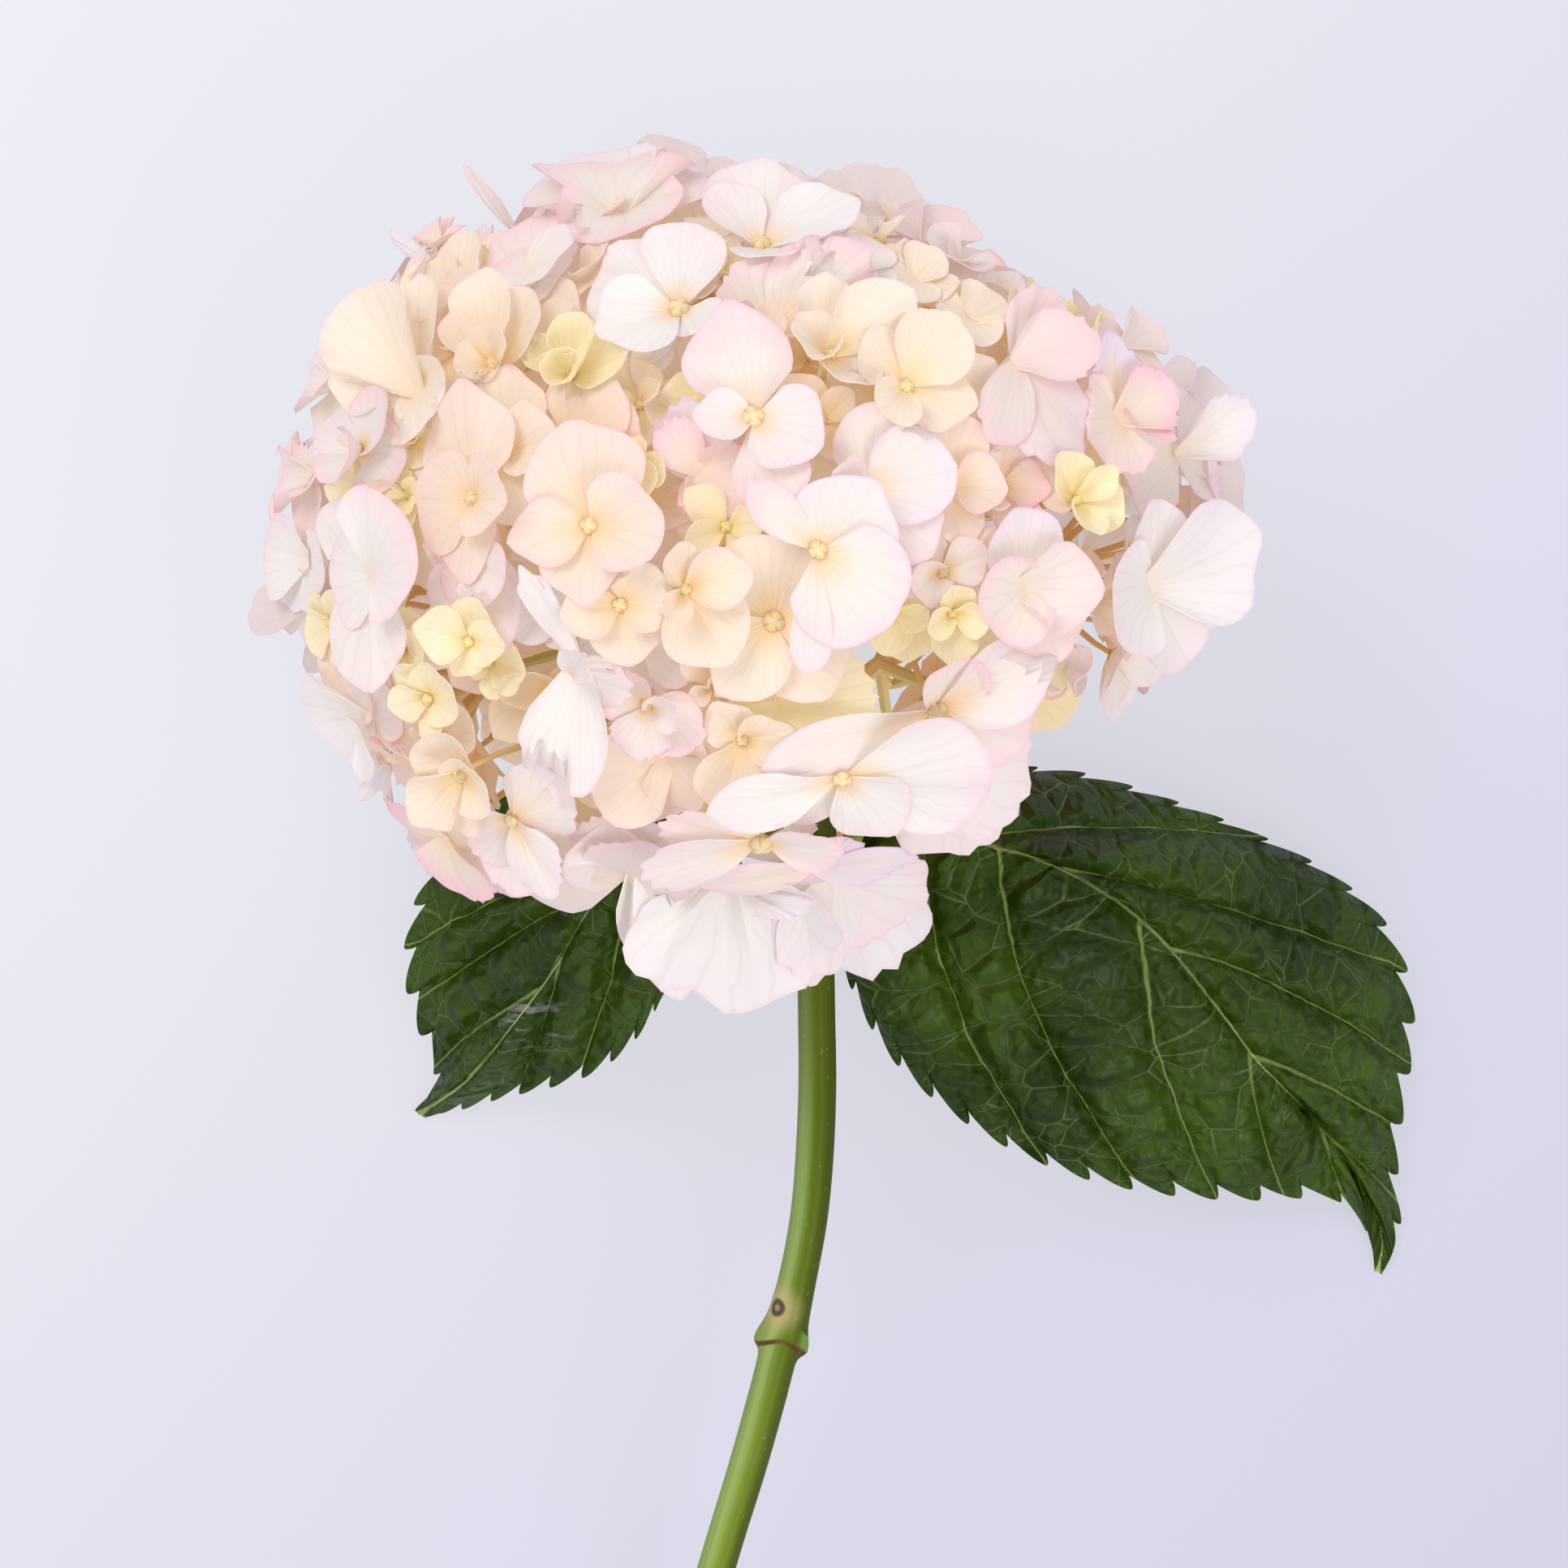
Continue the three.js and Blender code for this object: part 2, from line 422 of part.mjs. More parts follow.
function makeLeaf({ midrib, left, right, stalk, teeth, veins }) {
  const middle = smoothLine(midrib);
  const margins = { left: smoothLine(left), right: smoothLine(right) };
  const rows = 2 * teeth + 4;
  const columns = LEAF_COLUMNS.length - 1;
  const ridges = [];
  // u runs from the base to the tip, and v across from the left margin at -1 to the right one at 1.
  const place = (u, v) => {
    const margin = v < 0 ? margins.left : margins.right;
    const across = Math.abs(v);
    const inner = middle.getPointAt(u - LEAF_SWEEP * u * (1 - u));
    const outer = margin.getPointAt(u);
    const width = inner.distanceTo(outer);
    const quilt = QUILT_HEIGHT * Math.abs(Math.sin(Math.PI * u * veins)) * Math.min(1, width / 20);
    const point = inner.clone().lerp(outer, across);
    point.z += (LEAF_ARCH * width + quilt) * 4 * across * (1 - across);
    const hasTeeth = u > 0.07 && u < 0.94;
    if (across === 1 && hasTeeth) {
      const isTip = Math.round(u * rows) % 2 === 0;
      const outward = outer.clone().sub(inner).normalize();
      point.addScaledVector(outward, isTip ? TOOTH_DEPTH / 2 : -TOOTH_DEPTH / 2);
      if (isTip) point.addScaledVector(margin.getTangentAt(u), TOOTH_SLANT);
    }
    point.z = Math.max(point.z, LEAF_THICKNESS);
    return point;
  };
  const sheet = welded(new THREE.PlaneGeometry(columns, rows, columns, rows));
  moveVertices(sheet, (p) => {
    const u = 0.5 - p.y / rows;
    const v = LEAF_COLUMNS[Math.round(columns / 2 - p.x)];
    const isInRib = v === 0 && u < 0.9;
    ridges.push(isInRib ? RIB_DEPTH * (1 - u) : 0);
    return place(u, v);
  });
  const blade = toSolid(thicken(sheet, LEAF_THICKNESS, ridges));
  const rod = bentRod(smoothLine(stalk), (along) => LEAF_STALK_RADIUS * (1 - 0.3 * along), 7, 6);
  return fused([blade, toSolid(rod)]);
}

// The flower head

function headMiddle() {
  return seen([...HEAD_PIXEL, HEAD_MIDDLE_Z]);
}

function headPoint(direction, reach) {
  return headMiddle().add(direction.clone().multiply(HEAD_HALF).multiplyScalar(reach));
}

// Point number index of count in an even spread round a ball.
function goldenDirection(index, count) {
  const y = 1 - (2 * (index + 0.5)) / count;
  const ring = Math.sqrt(1 - y * y);
  const angle = index * Math.PI * (3 - Math.sqrt(5));
  return new THREE.Vector3(ring * Math.cos(angle), y, ring * Math.sin(angle));
}

// The way from a floret's eye to the tip that shows [right, down] pixels from it.
function wayToTip([right, down], normal, opening) {
  const way = new THREE.Vector3(right, -down, 0).multiplyScalar(MM_PER_PIXEL);
  const length = way.length();
  const rise = Math.tan(THREE.MathUtils.degToRad(opening)) * length;
  const height = rise - way.dot(normal) / Math.max(normal.z, LEAST_FACING);
  return way.setZ(THREE.MathUtils.clamp(height, -STEEPEST_RISE * length, STEEPEST_RISE * length));
}

// Two directions at right angles to a floret's normal and to each other.
function axesOf(normal) {
  const right = new THREE.Vector3(1, 0, 0).addScaledVector(normal, -normal.x).normalize();
  return { right, up: new THREE.Vector3().crossVectors(normal, right), normal };
}

function upperFloret([x, y, sepal, depth, opening, leanRight, leanUp, tips]) {
  const across = ((x - HEAD_PIXEL[0]) * MM_PER_PIXEL) / HEAD_HALF.x;
  const along = ((y - HEAD_PIXEL[1]) * MM_PER_PIXEL) / HEAD_HALF.y;
  const height = HEAD_HALF.z * Math.sqrt(Math.max(0.02, 1 - across ** 2 - along ** 2));
  const eye = seen([x, y, HEAD_MIDDLE_Z + height - depth]);
  const outward = eye.clone().sub(headMiddle()).divide(HEAD_HALF).divide(HEAD_HALF).normalize();
  const axes = axesOf(outward.add(new THREE.Vector3(leanRight, leanUp, FACING)).normalize());
  const sepals = tips.map((tip) => {
    const way = wayToTip(tip, axes.normal, opening);
    const length = way.length();
    const climb = Math.asin(way.dot(axes.normal) / length);
    return { angle: Math.atan2(way.dot(axes.up), way.dot(axes.right)), length, climb };
  });
  const outline = sepal >= LARGE_LENGTH ? LARGE_SEPAL : SMALL_SEPAL;
  return { eye, axes, sepals: sepals.sort((a, b) => a.angle - b.angle), outline };
}

function evenSepals(length, turn, climb) {
  return [0, 1, 2, 3].map((k) => ({ angle: turn + (k * Math.PI) / 2, length, climb }));
}

function lowerFlorets() {
  const random = randomStream(7);
  const florets = [];
  for (let i = 0; i < LOWER_SPREAD; i++) {
    const direction = goldenDirection(i, LOWER_SPREAD);
    const [a, b, c, d] = [random(), random(), random(), random()];
    const isUnderneath = direction.z < -0.1 && direction.z > -0.8;
    const isClearOfLeaves = direction.y > -0.42;
    if (!isUnderneath || !isClearOfLeaves) continue;
    const wobble = new THREE.Vector3(a - 0.5, b - 0.5, 0.4 * (c - 0.5)).multiplyScalar(0.5);
    const normal = direction.clone().divide(HEAD_HALF).normalize().add(wobble).normalize();
    const length = THREE.MathUtils.lerp(...LOWER_SEPAL, d);
    florets.push({
      eye: headPoint(direction, 1 - 0.06 * c),
      axes: axesOf(normal),
      sepals: evenSepals(length, 7 * a, LOWER_CLIMB),
      outline: LARGE_SEPAL,
    });
  }
  return florets;
}

function restingFloret([x, y], index) {
  return {
    eye: headMiddle().add(new THREE.Vector3(x, y, 0)).setZ(SEPAL_THICKNESS / 2),
    axes: axesOf(new THREE.Vector3(0, 0, -1)),
    sepals: evenSepals(RESTING_SEPAL, index, 0),
    outline: LARGE_SEPAL,
    isPressed: true,
  };
}

// One corner of a floret's rim: its point, and the direction that the upper face looks in there.
function rimCorner({ eye, axes: { right, up, normal } }, angle, length, climb) {
  const outward = right.clone().multiplyScalar(Math.cos(angle)).addScaledVector(up, Math.sin(angle));
  const along = outward.clone().multiplyScalar(Math.cos(climb)).addScaledVector(normal, Math.sin(climb));
  const face = normal.clone().multiplyScalar(Math.cos(climb)).addScaledVector(outward, -Math.sin(climb));
  return { point: eye.clone().addScaledVector(along, length), face };
}

// The corners of a floret's rim, sepal by sepal, each followed by the notch before the next sepal.
function floretRim(floret) {
  const { sepals, outline } = floret;
  const gapAfter = (k) => {
    const gap = sepals[(k + 1) % sepals.length].angle - sepals[k].angle;
    return THREE.MathUtils.euclideanModulo(gap, 2 * Math.PI);
  };
  return sepals.flatMap(({ angle, length, climb }, k) => {
    const gaps = [gapAfter((k + sepals.length - 1) % sepals.length), gapAfter(k)];
    const lobe = outline.map(([offset, share]) => {
      const crowding = Math.min(1, gaps[offset < 0 ? 0 : 1] / (Math.PI / 2));
      return rimCorner(floret, angle + offset * crowding, length * share, climb);
    });
    const next = sepals[(k + 1) % sepals.length];
    const share = NOTCH_SHARE * THREE.MathUtils.clamp(Math.PI / 2 / gaps[1], 0.6, 1.5);
    const notchLength = share * Math.min(length, next.length);
    return [...lobe, rimCorner(floret, angle + gaps[1] / 2, notchLength, (climb + next.climb) / 2)];
  });
}

// Where a floret's stalk leaves the core: on the straight line from its middle to the eye.
function stalkRoot(eye, coreMiddle) {
  const outward = eye.clone().sub(coreMiddle);
  const timesCore = outward.clone().divide(CORE_HALF).length();
  return coreMiddle.clone().addScaledVector(outward, 0.9 / timesCore);
}

function stalkCorners(end, { right, up }, turn) {
  return [0, 1, 2].map((k) => {
    const angle = turn + ((k + 0.5) * 2 * Math.PI) / 3;
    const corner = end.clone().addScaledVector(right, STALK_RADIUS * Math.cos(angle));
    return corner.addScaledVector(up, STALK_RADIUS * Math.sin(angle));
  });
}

// The triangles of a floret: a fan over its top, a band round its edge, and an underside that narrows
// to its stalk. Its points are the middle of the top, the rims of the top and of the underside,
// and the three corners of the stalk at the neck and at the root.
function floretTriangles(rim) {
  const neck = 1 + 2 * rim;
  const neckCorner = (j) => neck + Math.floor((3 * j) / rim);
  const triangles = [neck + 3, neck + 5, neck + 4];
  for (let j = 0; j < rim; j++) {
    const next = (j + 1) % rim;
    const [topHere, topNext, underHere, underNext] = [1 + j, 1 + next, 1 + rim + j, 1 + rim + next];
    const [corner, nextCorner] = [neckCorner(j), neckCorner(next)];
    triangles.push(0, topHere, topNext);
    triangles.push(topHere, underHere, topNext, topNext, underHere, underNext);
    triangles.push(underNext, underHere, corner);
    if (corner === nextCorner) continue;
    triangles.push(underNext, corner, nextCorner);
    triangles.push(corner, corner + 3, nextCorner, nextCorner, corner + 3, nextCorner + 3);
  }
  return triangles;
}

// A floret and its three-sided stalk as one solid, lifted clear of the table unless it is pressed on it.
function makeFloret(floret, coreMiddle) {
  const corners = floretRim(floret);
  const { eye, axes, sepals, isPressed } = floret;
  const half = SEPAL_THICKNESS / 2;
  const shifted = ({ point, face }, side) => point.clone().addScaledVector(face, side * half);
  const middle = shifted({ point: eye, face: axes.normal }, 1);
  const blade = [middle, ...corners.map((c) => shifted(c, 1)), ...corners.map((c) => shifted(c, -1))];
  const lowest = isPressed ? 0 : LEAST_CLEARANCE;
  const lift = new THREE.Vector3(0, 0, Math.max(0, ...blade.map((p) => lowest - p.z)));
  blade.forEach((p) => p.add(lift));
  const liftedEye = eye.clone().add(lift);
  const neck = liftedEye.clone().addScaledVector(axes.normal, -SEPAL_THICKNESS);
  const ends = [neck, stalkRoot(liftedEye, coreMiddle)];
  const stalk = ends.flatMap((end) => stalkCorners(end, axes, sepals[0].angle));
  const points = [...blade, ...stalk].flatMap((p) => p.toArray());
  const solid = new THREE.BufferGeometry();
  solid.setAttribute("position", new THREE.Float32BufferAttribute(points, 3));
  solid.setIndex(floretTriangles(corners.length));
  return toSolid(solid);
}

function makeFlowerHead() {
  const coreMiddle = headMiddle().add(CORE_OFFSET);
  const core = welded(new THREE.SphereGeometry(1, 12, 8));
  moveVertices(core, (p) => p.multiply(CORE_HALF).add(coreMiddle));
  const fork = seen(STEM_LINE[0]);
  const upStem = fork.clone().sub(seen(STEM_LINE[1])).normalize();
  const crown = new THREE.LineCurve3(
    fork.clone().addScaledVector(upStem, JOINT_GAP),
    fork.clone().addScaledVector(upStem, CROWN_LENGTH),
  );
  const florets = [
    ...UPPER_FLORETS.map(upperFloret),
    ...lowerFlorets(),
    ...RESTING_FLORETS.map(restingFloret),
  ];
  return fused([
    toSolid(core),
    toSolid(bentRod(crown, (along) => CROWN_RADIUS * (1 + along), 8, 1)),
    ...florets.map((floret) => makeFloret(floret, coreMiddle)),
  ]);
}

// The whole flower

function named(name, solid, color, roughness) {
  const material = new THREE.MeshStandardMaterial({ color, roughness, metalness: 0 });
  const mesh = new THREE.Mesh(toGeometry(solid), material);
  mesh.name = name;
  return mesh;
}

const flower = new THREE.Group();
flower.name = "cut_hydrangea";
flower.add(named("stem", makeStem(), "#6f8a34", 0.5));
flower.add(named("leaf_right", makeLeaf(RIGHT_LEAF), "#2f4a1b", 0.42));
flower.add(named("leaf_left", makeLeaf(LEFT_LEAF), "#33501f", 0.42));
flower.add(named("flower_head", makeFlowerHead(), "#f6e3d2", 0.75));
flower.position.set(-FOOTPRINT_MIDDLE[0], -FOOTPRINT_MIDDLE[1], 0);

export default flower;
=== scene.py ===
# %% [markdown]
# A cut hydrangea
#
# One mophead flower on a fresh green stem, with its upper pair of leaves, lying on a pale table
# and seen from straight above. The head is a ball of four-sepalled florets, white with cream
# hearts and pink margins. Everything here is worked out from formulas, in the frame of the
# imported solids, so each piece lies where its solid lies.

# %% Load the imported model
import math

import bpy
import numpy as np
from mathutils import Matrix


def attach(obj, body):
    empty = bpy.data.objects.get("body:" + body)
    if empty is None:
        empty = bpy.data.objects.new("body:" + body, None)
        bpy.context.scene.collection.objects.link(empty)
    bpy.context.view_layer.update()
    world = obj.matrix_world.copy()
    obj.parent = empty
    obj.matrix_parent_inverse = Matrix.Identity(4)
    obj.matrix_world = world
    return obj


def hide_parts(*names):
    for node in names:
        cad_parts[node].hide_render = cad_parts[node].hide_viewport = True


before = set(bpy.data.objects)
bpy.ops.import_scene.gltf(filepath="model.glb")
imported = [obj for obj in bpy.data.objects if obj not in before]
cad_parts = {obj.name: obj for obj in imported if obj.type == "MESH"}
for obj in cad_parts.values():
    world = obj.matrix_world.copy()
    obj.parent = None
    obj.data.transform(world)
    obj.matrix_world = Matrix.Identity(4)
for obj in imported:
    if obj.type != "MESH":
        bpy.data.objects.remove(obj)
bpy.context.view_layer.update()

print("packed nodes:", sorted(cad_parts))

# %% [markdown]
# The picture and the table
#
# Places are easiest to choose in the picture's own pixels. A pixel alone is a line of sight, so
# each place also has a height over the table, and one function turns the three numbers into a
# point. Lengths are in millimetres until a mesh is made.

# %% From pixels to millimetres
PICTURE_SIDE = 1932  # pixels
MM_PER_PIXEL = 0.15  # at the height of the middle of the head
EYE_DISTANCE = 1500.0  # from the middle of the head up to the camera
HEAD_HEIGHT = 70.0  # of the middle of the head over the table
HEAD_PIXEL = (930, 690)  # of the middle of the head
FOOTPRINT_MIDDLE = (12.2, -75.8)  # of the whole flower, from the middle of the picture
METRES = 0.001


def seen(x, y, z):
    """The point at height z that shows at a pixel: its offset from the picture's middle times the
    size of a pixel at that height, moved so that the whole flower is centred on the origin."""
    x, y, z = np.broadcast_arrays(*(np.asarray(values, float) for values in (x, y, z)))
    scale = MM_PER_PIXEL * (EYE_DISTANCE + HEAD_HEIGHT - z) / EYE_DISTANCE
    right = (x - PICTURE_SIDE / 2) * scale - FOOTPRINT_MIDDLE[0]
    up = (PICTURE_SIDE / 2 - y) * scale - FOOTPRINT_MIDDLE[1]
    return np.stack([right, up, z], -1)


def unit(vectors):
    """Vectors divided by their lengths."""
    return vectors / np.maximum(np.linalg.norm(vectors, axis=-1, keepdims=True), 1e-9)


HEAD_MIDDLE = seen(*HEAD_PIXEL, HEAD_HEIGHT)
HEAD_HALF = np.array([85.0, 76.0, 66.0])  # half sizes of the ball that the florets' eyes lie on
print("middle of the head:", HEAD_MIDDLE.round(1), "mm")

# %% [markdown]
# The camera
#
# The photograph looks straight at the flower from some way off. Here the camera hangs over the
# table and looks down. A new camera looks down already, so it only has to be moved. Its lens
# could be found by trial, but it follows from the picture: the sensor's width over the width of
# the picture in millimetres, times the distance.

# %% Camera
SENSOR_MM = 36.0
camera = bpy.data.objects.new("camera", bpy.data.cameras.new("camera"))
bpy.context.collection.objects.link(camera)
bpy.context.scene.camera = camera
camera.data.sensor_width = SENSOR_MM
camera.data.lens = SENSOR_MM * EYE_DISTANCE / (MM_PER_PIXEL * PICTURE_SIDE)
camera.data.clip_end = 20  # metres
camera.location = (
    -FOOTPRINT_MIDDLE[0] * METRES,
    -FOOTPRINT_MIDDLE[1] * METRES,
    (EYE_DISTANCE + HEAD_HEIGHT) * METRES,
)
print("lens:", round(camera.data.lens, 1), "mm")


# %% [markdown]
# Writing materials as expressions
#
# A material is a graph of nodes. Written node by node it is long and hard to read, so one small
# class wraps an output of a node: adding or multiplying two of them makes the Math node. Every
# other node comes from one method, which takes its type, its settings and its inputs.

# %% A wrapped output of a node
class Wire:
    """An output of a node that numbers and other outputs can be added to and multiplied with."""

    def __init__(self, graph, socket):
        self.graph = graph
        self.socket = socket

    def math(self, operation, *values):
        """A Math node on this and other values."""
        inputs = dict(enumerate(values))
        return self.graph.node("ShaderNodeMath", {"operation": operation}, inputs)

    def __add__(self, other):
        return self.math("ADD", self, other)

    def __sub__(self, other):
        return self.math("SUBTRACT", self, other)

    def __rsub__(self, other):
        return self.math("SUBTRACT", other, self)

    def __mul__(self, other):
        return self.math("MULTIPLY", self, other)

    __radd__ = __add__
    __rmul__ = __mul__

    def absolute(self):
        """The value without its sign."""
        return self.math("ABSOLUTE", self)

    def fraction(self):
        """What is left of the value over its whole part."""
        return self.math("FRACT", self)


print("a wire can be added, taken away and multiplied")


# %% A material's graph
class Graph:
    """A new material and the nodes that it is made of."""

    def __init__(self, name):
        self.material = bpy.data.materials.new(name)
        self.material.use_nodes = True
        self.tree = self.material.node_tree
        self.tree.nodes.clear()

    def node(self, kind, settings, inputs, output=0):
        """A node of a type, with its settings made first and then its inputs, each a number or
        another node's output. Its own output is named or numbered by the last value."""
        node = self.tree.nodes.new(kind)
        for key, value in settings.items():
            setattr(node, key, value)
        for key, value in inputs.items():
            if isinstance(value, Wire):
                self.tree.links.new(value.socket, node.inputs[key])
            else:
                node.inputs[key].default_value = value
        return Wire(self, node.outputs[output]) if len(node.outputs) else None

    def attribute(self, name):
        """The number that a mesh holds under a name at each point."""
        return self.node("ShaderNodeAttribute", {"attribute_name": name}, {}, "Fac")

    def place(self):
        """The point itself, in metres."""
        return self.node("ShaderNodeTexCoord", {}, {}, "Object")

    def noise(self, vector, scale, detail=2.0):
        """Soft clouds from 0 to 1, smaller for a higher scale and finer for more detail."""
        inputs = {"Vector": vector, "Scale": scale, "Detail": detail}
        return self.node("ShaderNodeTexNoise", {}, inputs, "Fac")

    def fade(self, value, low, high):
        """0 below low, 1 above high, and a smooth step between them."""
        inputs = {"Value": value, "From Min": low, "From Max": high}
        return self.node("ShaderNodeMapRange", {"interpolation_type": "SMOOTHSTEP"}, inputs)

    def mix(self, share, first, second):
        """The first colour at share 0 and the second at share 1."""
        settings = {"data_type": "RGBA", "blend_type": "MIX", "clamp_factor": True}
        return self.node("ShaderNodeMix", settings, {0: share, 6: first, 7: second}, 2)

    def vector(self, x, y, z):
        """Three numbers as one vector."""
        return self.node("ShaderNodeCombineXYZ", {}, {0: x, 1: y, 2: z})

    def distance(self, first, second):
        """How far two vectors lie apart."""
        settings = {"operation": "DISTANCE"}
        return self.node("ShaderNodeVectorMath", settings, {0: first, 1: second}, 1)

    def bump(self, height, strength, distance):
        """A normal tilted as if the surface had a height, over a distance in metres."""
        inputs = {"Height": height, "Strength": strength, "Distance": distance}
        return self.node("ShaderNodeBump", {}, inputs)

    def finish(self, surface):
        """Ends the graph with a shader, and returns the material."""
        self.node("ShaderNodeOutputMaterial", {}, {"Surface": surface})
        return self.material


print("a graph makes nodes with one method, and shorter ones for those used most")


# %% Colours of a screen
def colour(red, green, blue):
    """A colour as a screen shows it, 0 to 255, turned to the linear light that nodes work in."""
    screen = np.array([red, green, blue]) / 255
    linear = np.where(screen > 0.04045, ((screen + 0.055) / 1.055) ** 2.4, screen / 12.92)
    return (*linear.tolist(), 1.0)


print("mid grey of a screen in linear light:", round(colour(128, 128, 128)[0], 3))

# %% [markdown]
# The table and the light
#
# The photograph has a plain pale backdrop, a little brighter towards the upper left and a little
# blue. White paper under lamps would do, but its shade would follow every lamp. So the table
# glows a little by itself, which also keeps the flower's shadow soft. The light is a broad pale
# sky with two large round lamps, as in a white studio.


# %% The table
def table_material():
    """Pale paper with a painted glow of light that grows from the lower right to the upper left:
    the share of the lighter colour follows the height in the picture less the distance to the
    right."""
    graph = Graph("table")
    right = graph.node("ShaderNodeSeparateXYZ", {}, {0: graph.place()})
    up = graph.node("ShaderNodeSeparateXYZ", {}, {0: graph.place()}, 1)
    share = graph.fade(up - right, -0.45, 0.5)
    # painted light: the table glows by itself, brighter to the upper left, and softens the
    # flower's shadow
    glow = graph.mix(share, colour(212, 212, 228), colour(255, 255, 255))
    surface = graph.node("ShaderNodeBsdfPrincipled", {}, {
        "Base Color": colour(94, 95, 112), "Roughness": 0.9, "Specular IOR Level": 0.1,
        "Emission Color": glow, "Emission Strength": 0.725,
    })
    return graph.finish(surface)


TABLE_HALF = 3.0  # metres
table_mesh = bpy.data.meshes.new("table")
corners = [(-TABLE_HALF, -TABLE_HALF, 0), (TABLE_HALF, -TABLE_HALF, 0)]
corners += [(TABLE_HALF, TABLE_HALF, 0), (-TABLE_HALF, TABLE_HALF, 0)]
table_mesh.from_pydata(corners, [], [(0, 1, 2, 3)])
table_mesh.materials.append(table_material())
table = bpy.data.objects.new("table", table_mesh)
bpy.context.collection.objects.link(table)
print("table:", 2 * TABLE_HALF, "m wide")

# %% The sky and the lamps
AIM_UP = 0.1  # metres from the origin towards the head, where the lamps point
world = bpy.data.worlds.new("studio")
bpy.context.scene.world = world
world.use_nodes = True
sky = world.node_tree.nodes["Background"]
sky.inputs["Color"].default_value = (0.96, 0.96, 1.0, 1)
sky.inputs["Strength"].default_value = 0.81


def add_lamp(name, place, size, energy, tint):
    """A round lamp of the given size that shines at the head. It is turned about the vertical to
    face it, after tipping from straight down by the angle whose tangent is reach over height."""
    lamp = bpy.data.objects.new(name, bpy.data.lights.new(name, "AREA"))
    lamp.data.shape = "DISK"
    lamp.data.size = size
    lamp.data.energy = energy
    lamp.data.color = tint
    lamp.location = place
    right, up = place[0], place[1] - AIM_UP
    lamp.rotation_euler = (math.atan2(math.hypot(right, up), place[2]), 0, math.atan2(right, -up))
    bpy.context.collection.objects.link(lamp)
    print(name, "at", place, "with", energy, "watts")


add_lamp("key_lamp", (-0.8, 0.9, 1.7), 1.0, 15, (1.0, 0.985, 0.965))
add_lamp("fill_lamp", (0.9, -0.9, 1.8), 1.4, 17, (1.0, 0.985, 0.985))
bpy.context.scene.view_settings.view_transform = "Standard"

# %% [markdown]
# Sheets, shells and tubes
#
# A petal or a leaf is a sheet: a grid of points worked out from two numbers. A shell is that
# sheet given a thickness, closed round its edge. A stalk is a tube: rings of points carried
# along a path. Whole batches of them are computed together as arrays.

# %% Making a mesh piece
SHARP_ANGLE = math.radians(50)


def make_piece(name, points, faces, material, values, node):
    """A mesh object from points in millimetres and lists of corner numbers, with one number per
    point under each name in values. It rides on the flower and stands for the node."""
    mesh = bpy.data.meshes.new(name)
    mesh.from_pydata(points * METRES, [], faces)
    for key, numbers in values.items():
        attribute = mesh.attributes.new(key, "FLOAT", "POINT")
        attribute.data.foreach_set("value", np.ascontiguousarray(numbers, np.float32))
    mesh.polygons.foreach_set("use_smooth", np.ones(len(mesh.polygons), bool))
    mesh.set_sharp_from_angle(angle=SHARP_ANGLE)
    mesh.materials.append(material)
    piece = bpy.data.objects.new(name, mesh)
    bpy.context.collection.objects.link(piece)
    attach(piece, "root")
    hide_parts(node)
    triangles = sum(len(face) - 2 for face in faces)
    print(name, len(points), "points,", triangles, "triangles")
    return piece


# %% Shells
def shell_faces(rows, columns, count):
    """Quads of count shells, each with rows x columns cells on both faces and a band round the
    edge. A shell's upper points come first, row by row, and then its lower ones."""
    step = columns + 1
    corner = (np.arange(rows)[:, None] * step + np.arange(columns)).ravel()
    sheet = (rows + 1) * step
    upper = np.stack([corner, corner + step, corner + step + 1, corner + 1], -1)
    lower = upper[:, ::-1] + sheet
    edge = np.concatenate([
        np.arange(columns),
        np.arange(rows) * step + columns,
        rows * step + np.arange(columns, 0, -1),
        np.arange(rows, 0, -1) * step,
    ])
    following = np.roll(edge, -1)
    band = np.stack([edge, following, following + sheet, edge + sheet], -1)
    one = np.concatenate([upper, lower, band])
    return (one + 2 * sheet * np.arange(count)[:, None, None]).reshape(-1, 4).tolist()


def sheet_normals(points):
    """Unit normals of sheets of points: the step along crossed with the step across."""
    return unit(np.cross(np.gradient(points, axis=-3), np.gradient(points, axis=-2)))


def thicken(points, thickness):
    """Upper and lower points of shells round sheets, half the thickness to each side."""
    offset = sheet_normals(points) * thickness[..., None] / 2
    return np.stack([points + offset, points - offset], -4)


print("a shell of 2 x 3 cells has", len(shell_faces(2, 3, 1)), "faces")


# %% Tubes
def tube_points(paths, radii, sides):
    """Rings round paths. Each ring lies square to its path, and starts from the direction that is
    most nearly square to the whole path, so that tubes don't twist."""
    chord = unit(paths[:, -1] - paths[:, 0])
    reference = np.eye(3)[np.abs(chord).argmin(-1)]
    tangent = unit(np.gradient(paths, axis=1))
    first = unit(np.cross(tangent, reference[:, None]))
    second = np.cross(tangent, first)
    angle = np.linspace(0, 2 * np.pi, sides, endpoint=False)
    level = first[:, :, None] * np.cos(angle)[:, None]
    ring = level + second[:, :, None] * np.sin(angle)[:, None]
    return paths[:, :, None] + ring * radii[..., None]


def tube_faces(rings, sides, count):
    """Quads between the rings of count tubes, and one face over each end."""
    here = np.arange(sides)
    ahead = np.roll(here, -1)
    step = np.arange(rings - 1)[:, None] * sides
    wall = np.stack([here + step, ahead + step, ahead + step + sides, here + step + sides], -1)
    start = rings * sides * np.arange(count)
    walls = (wall.reshape(-1, 4) + start[:, None, None]).reshape(-1, 4)
    first_ends = here[::-1] + start[:, None]
    last_ends = here + start[:, None] + (rings - 1) * sides
    return walls.tolist() + first_ends.tolist() + last_ends.tolist()


print("a tube of 3 rings of 6 has", len(tube_faces(3, 6, 1)), "faces")

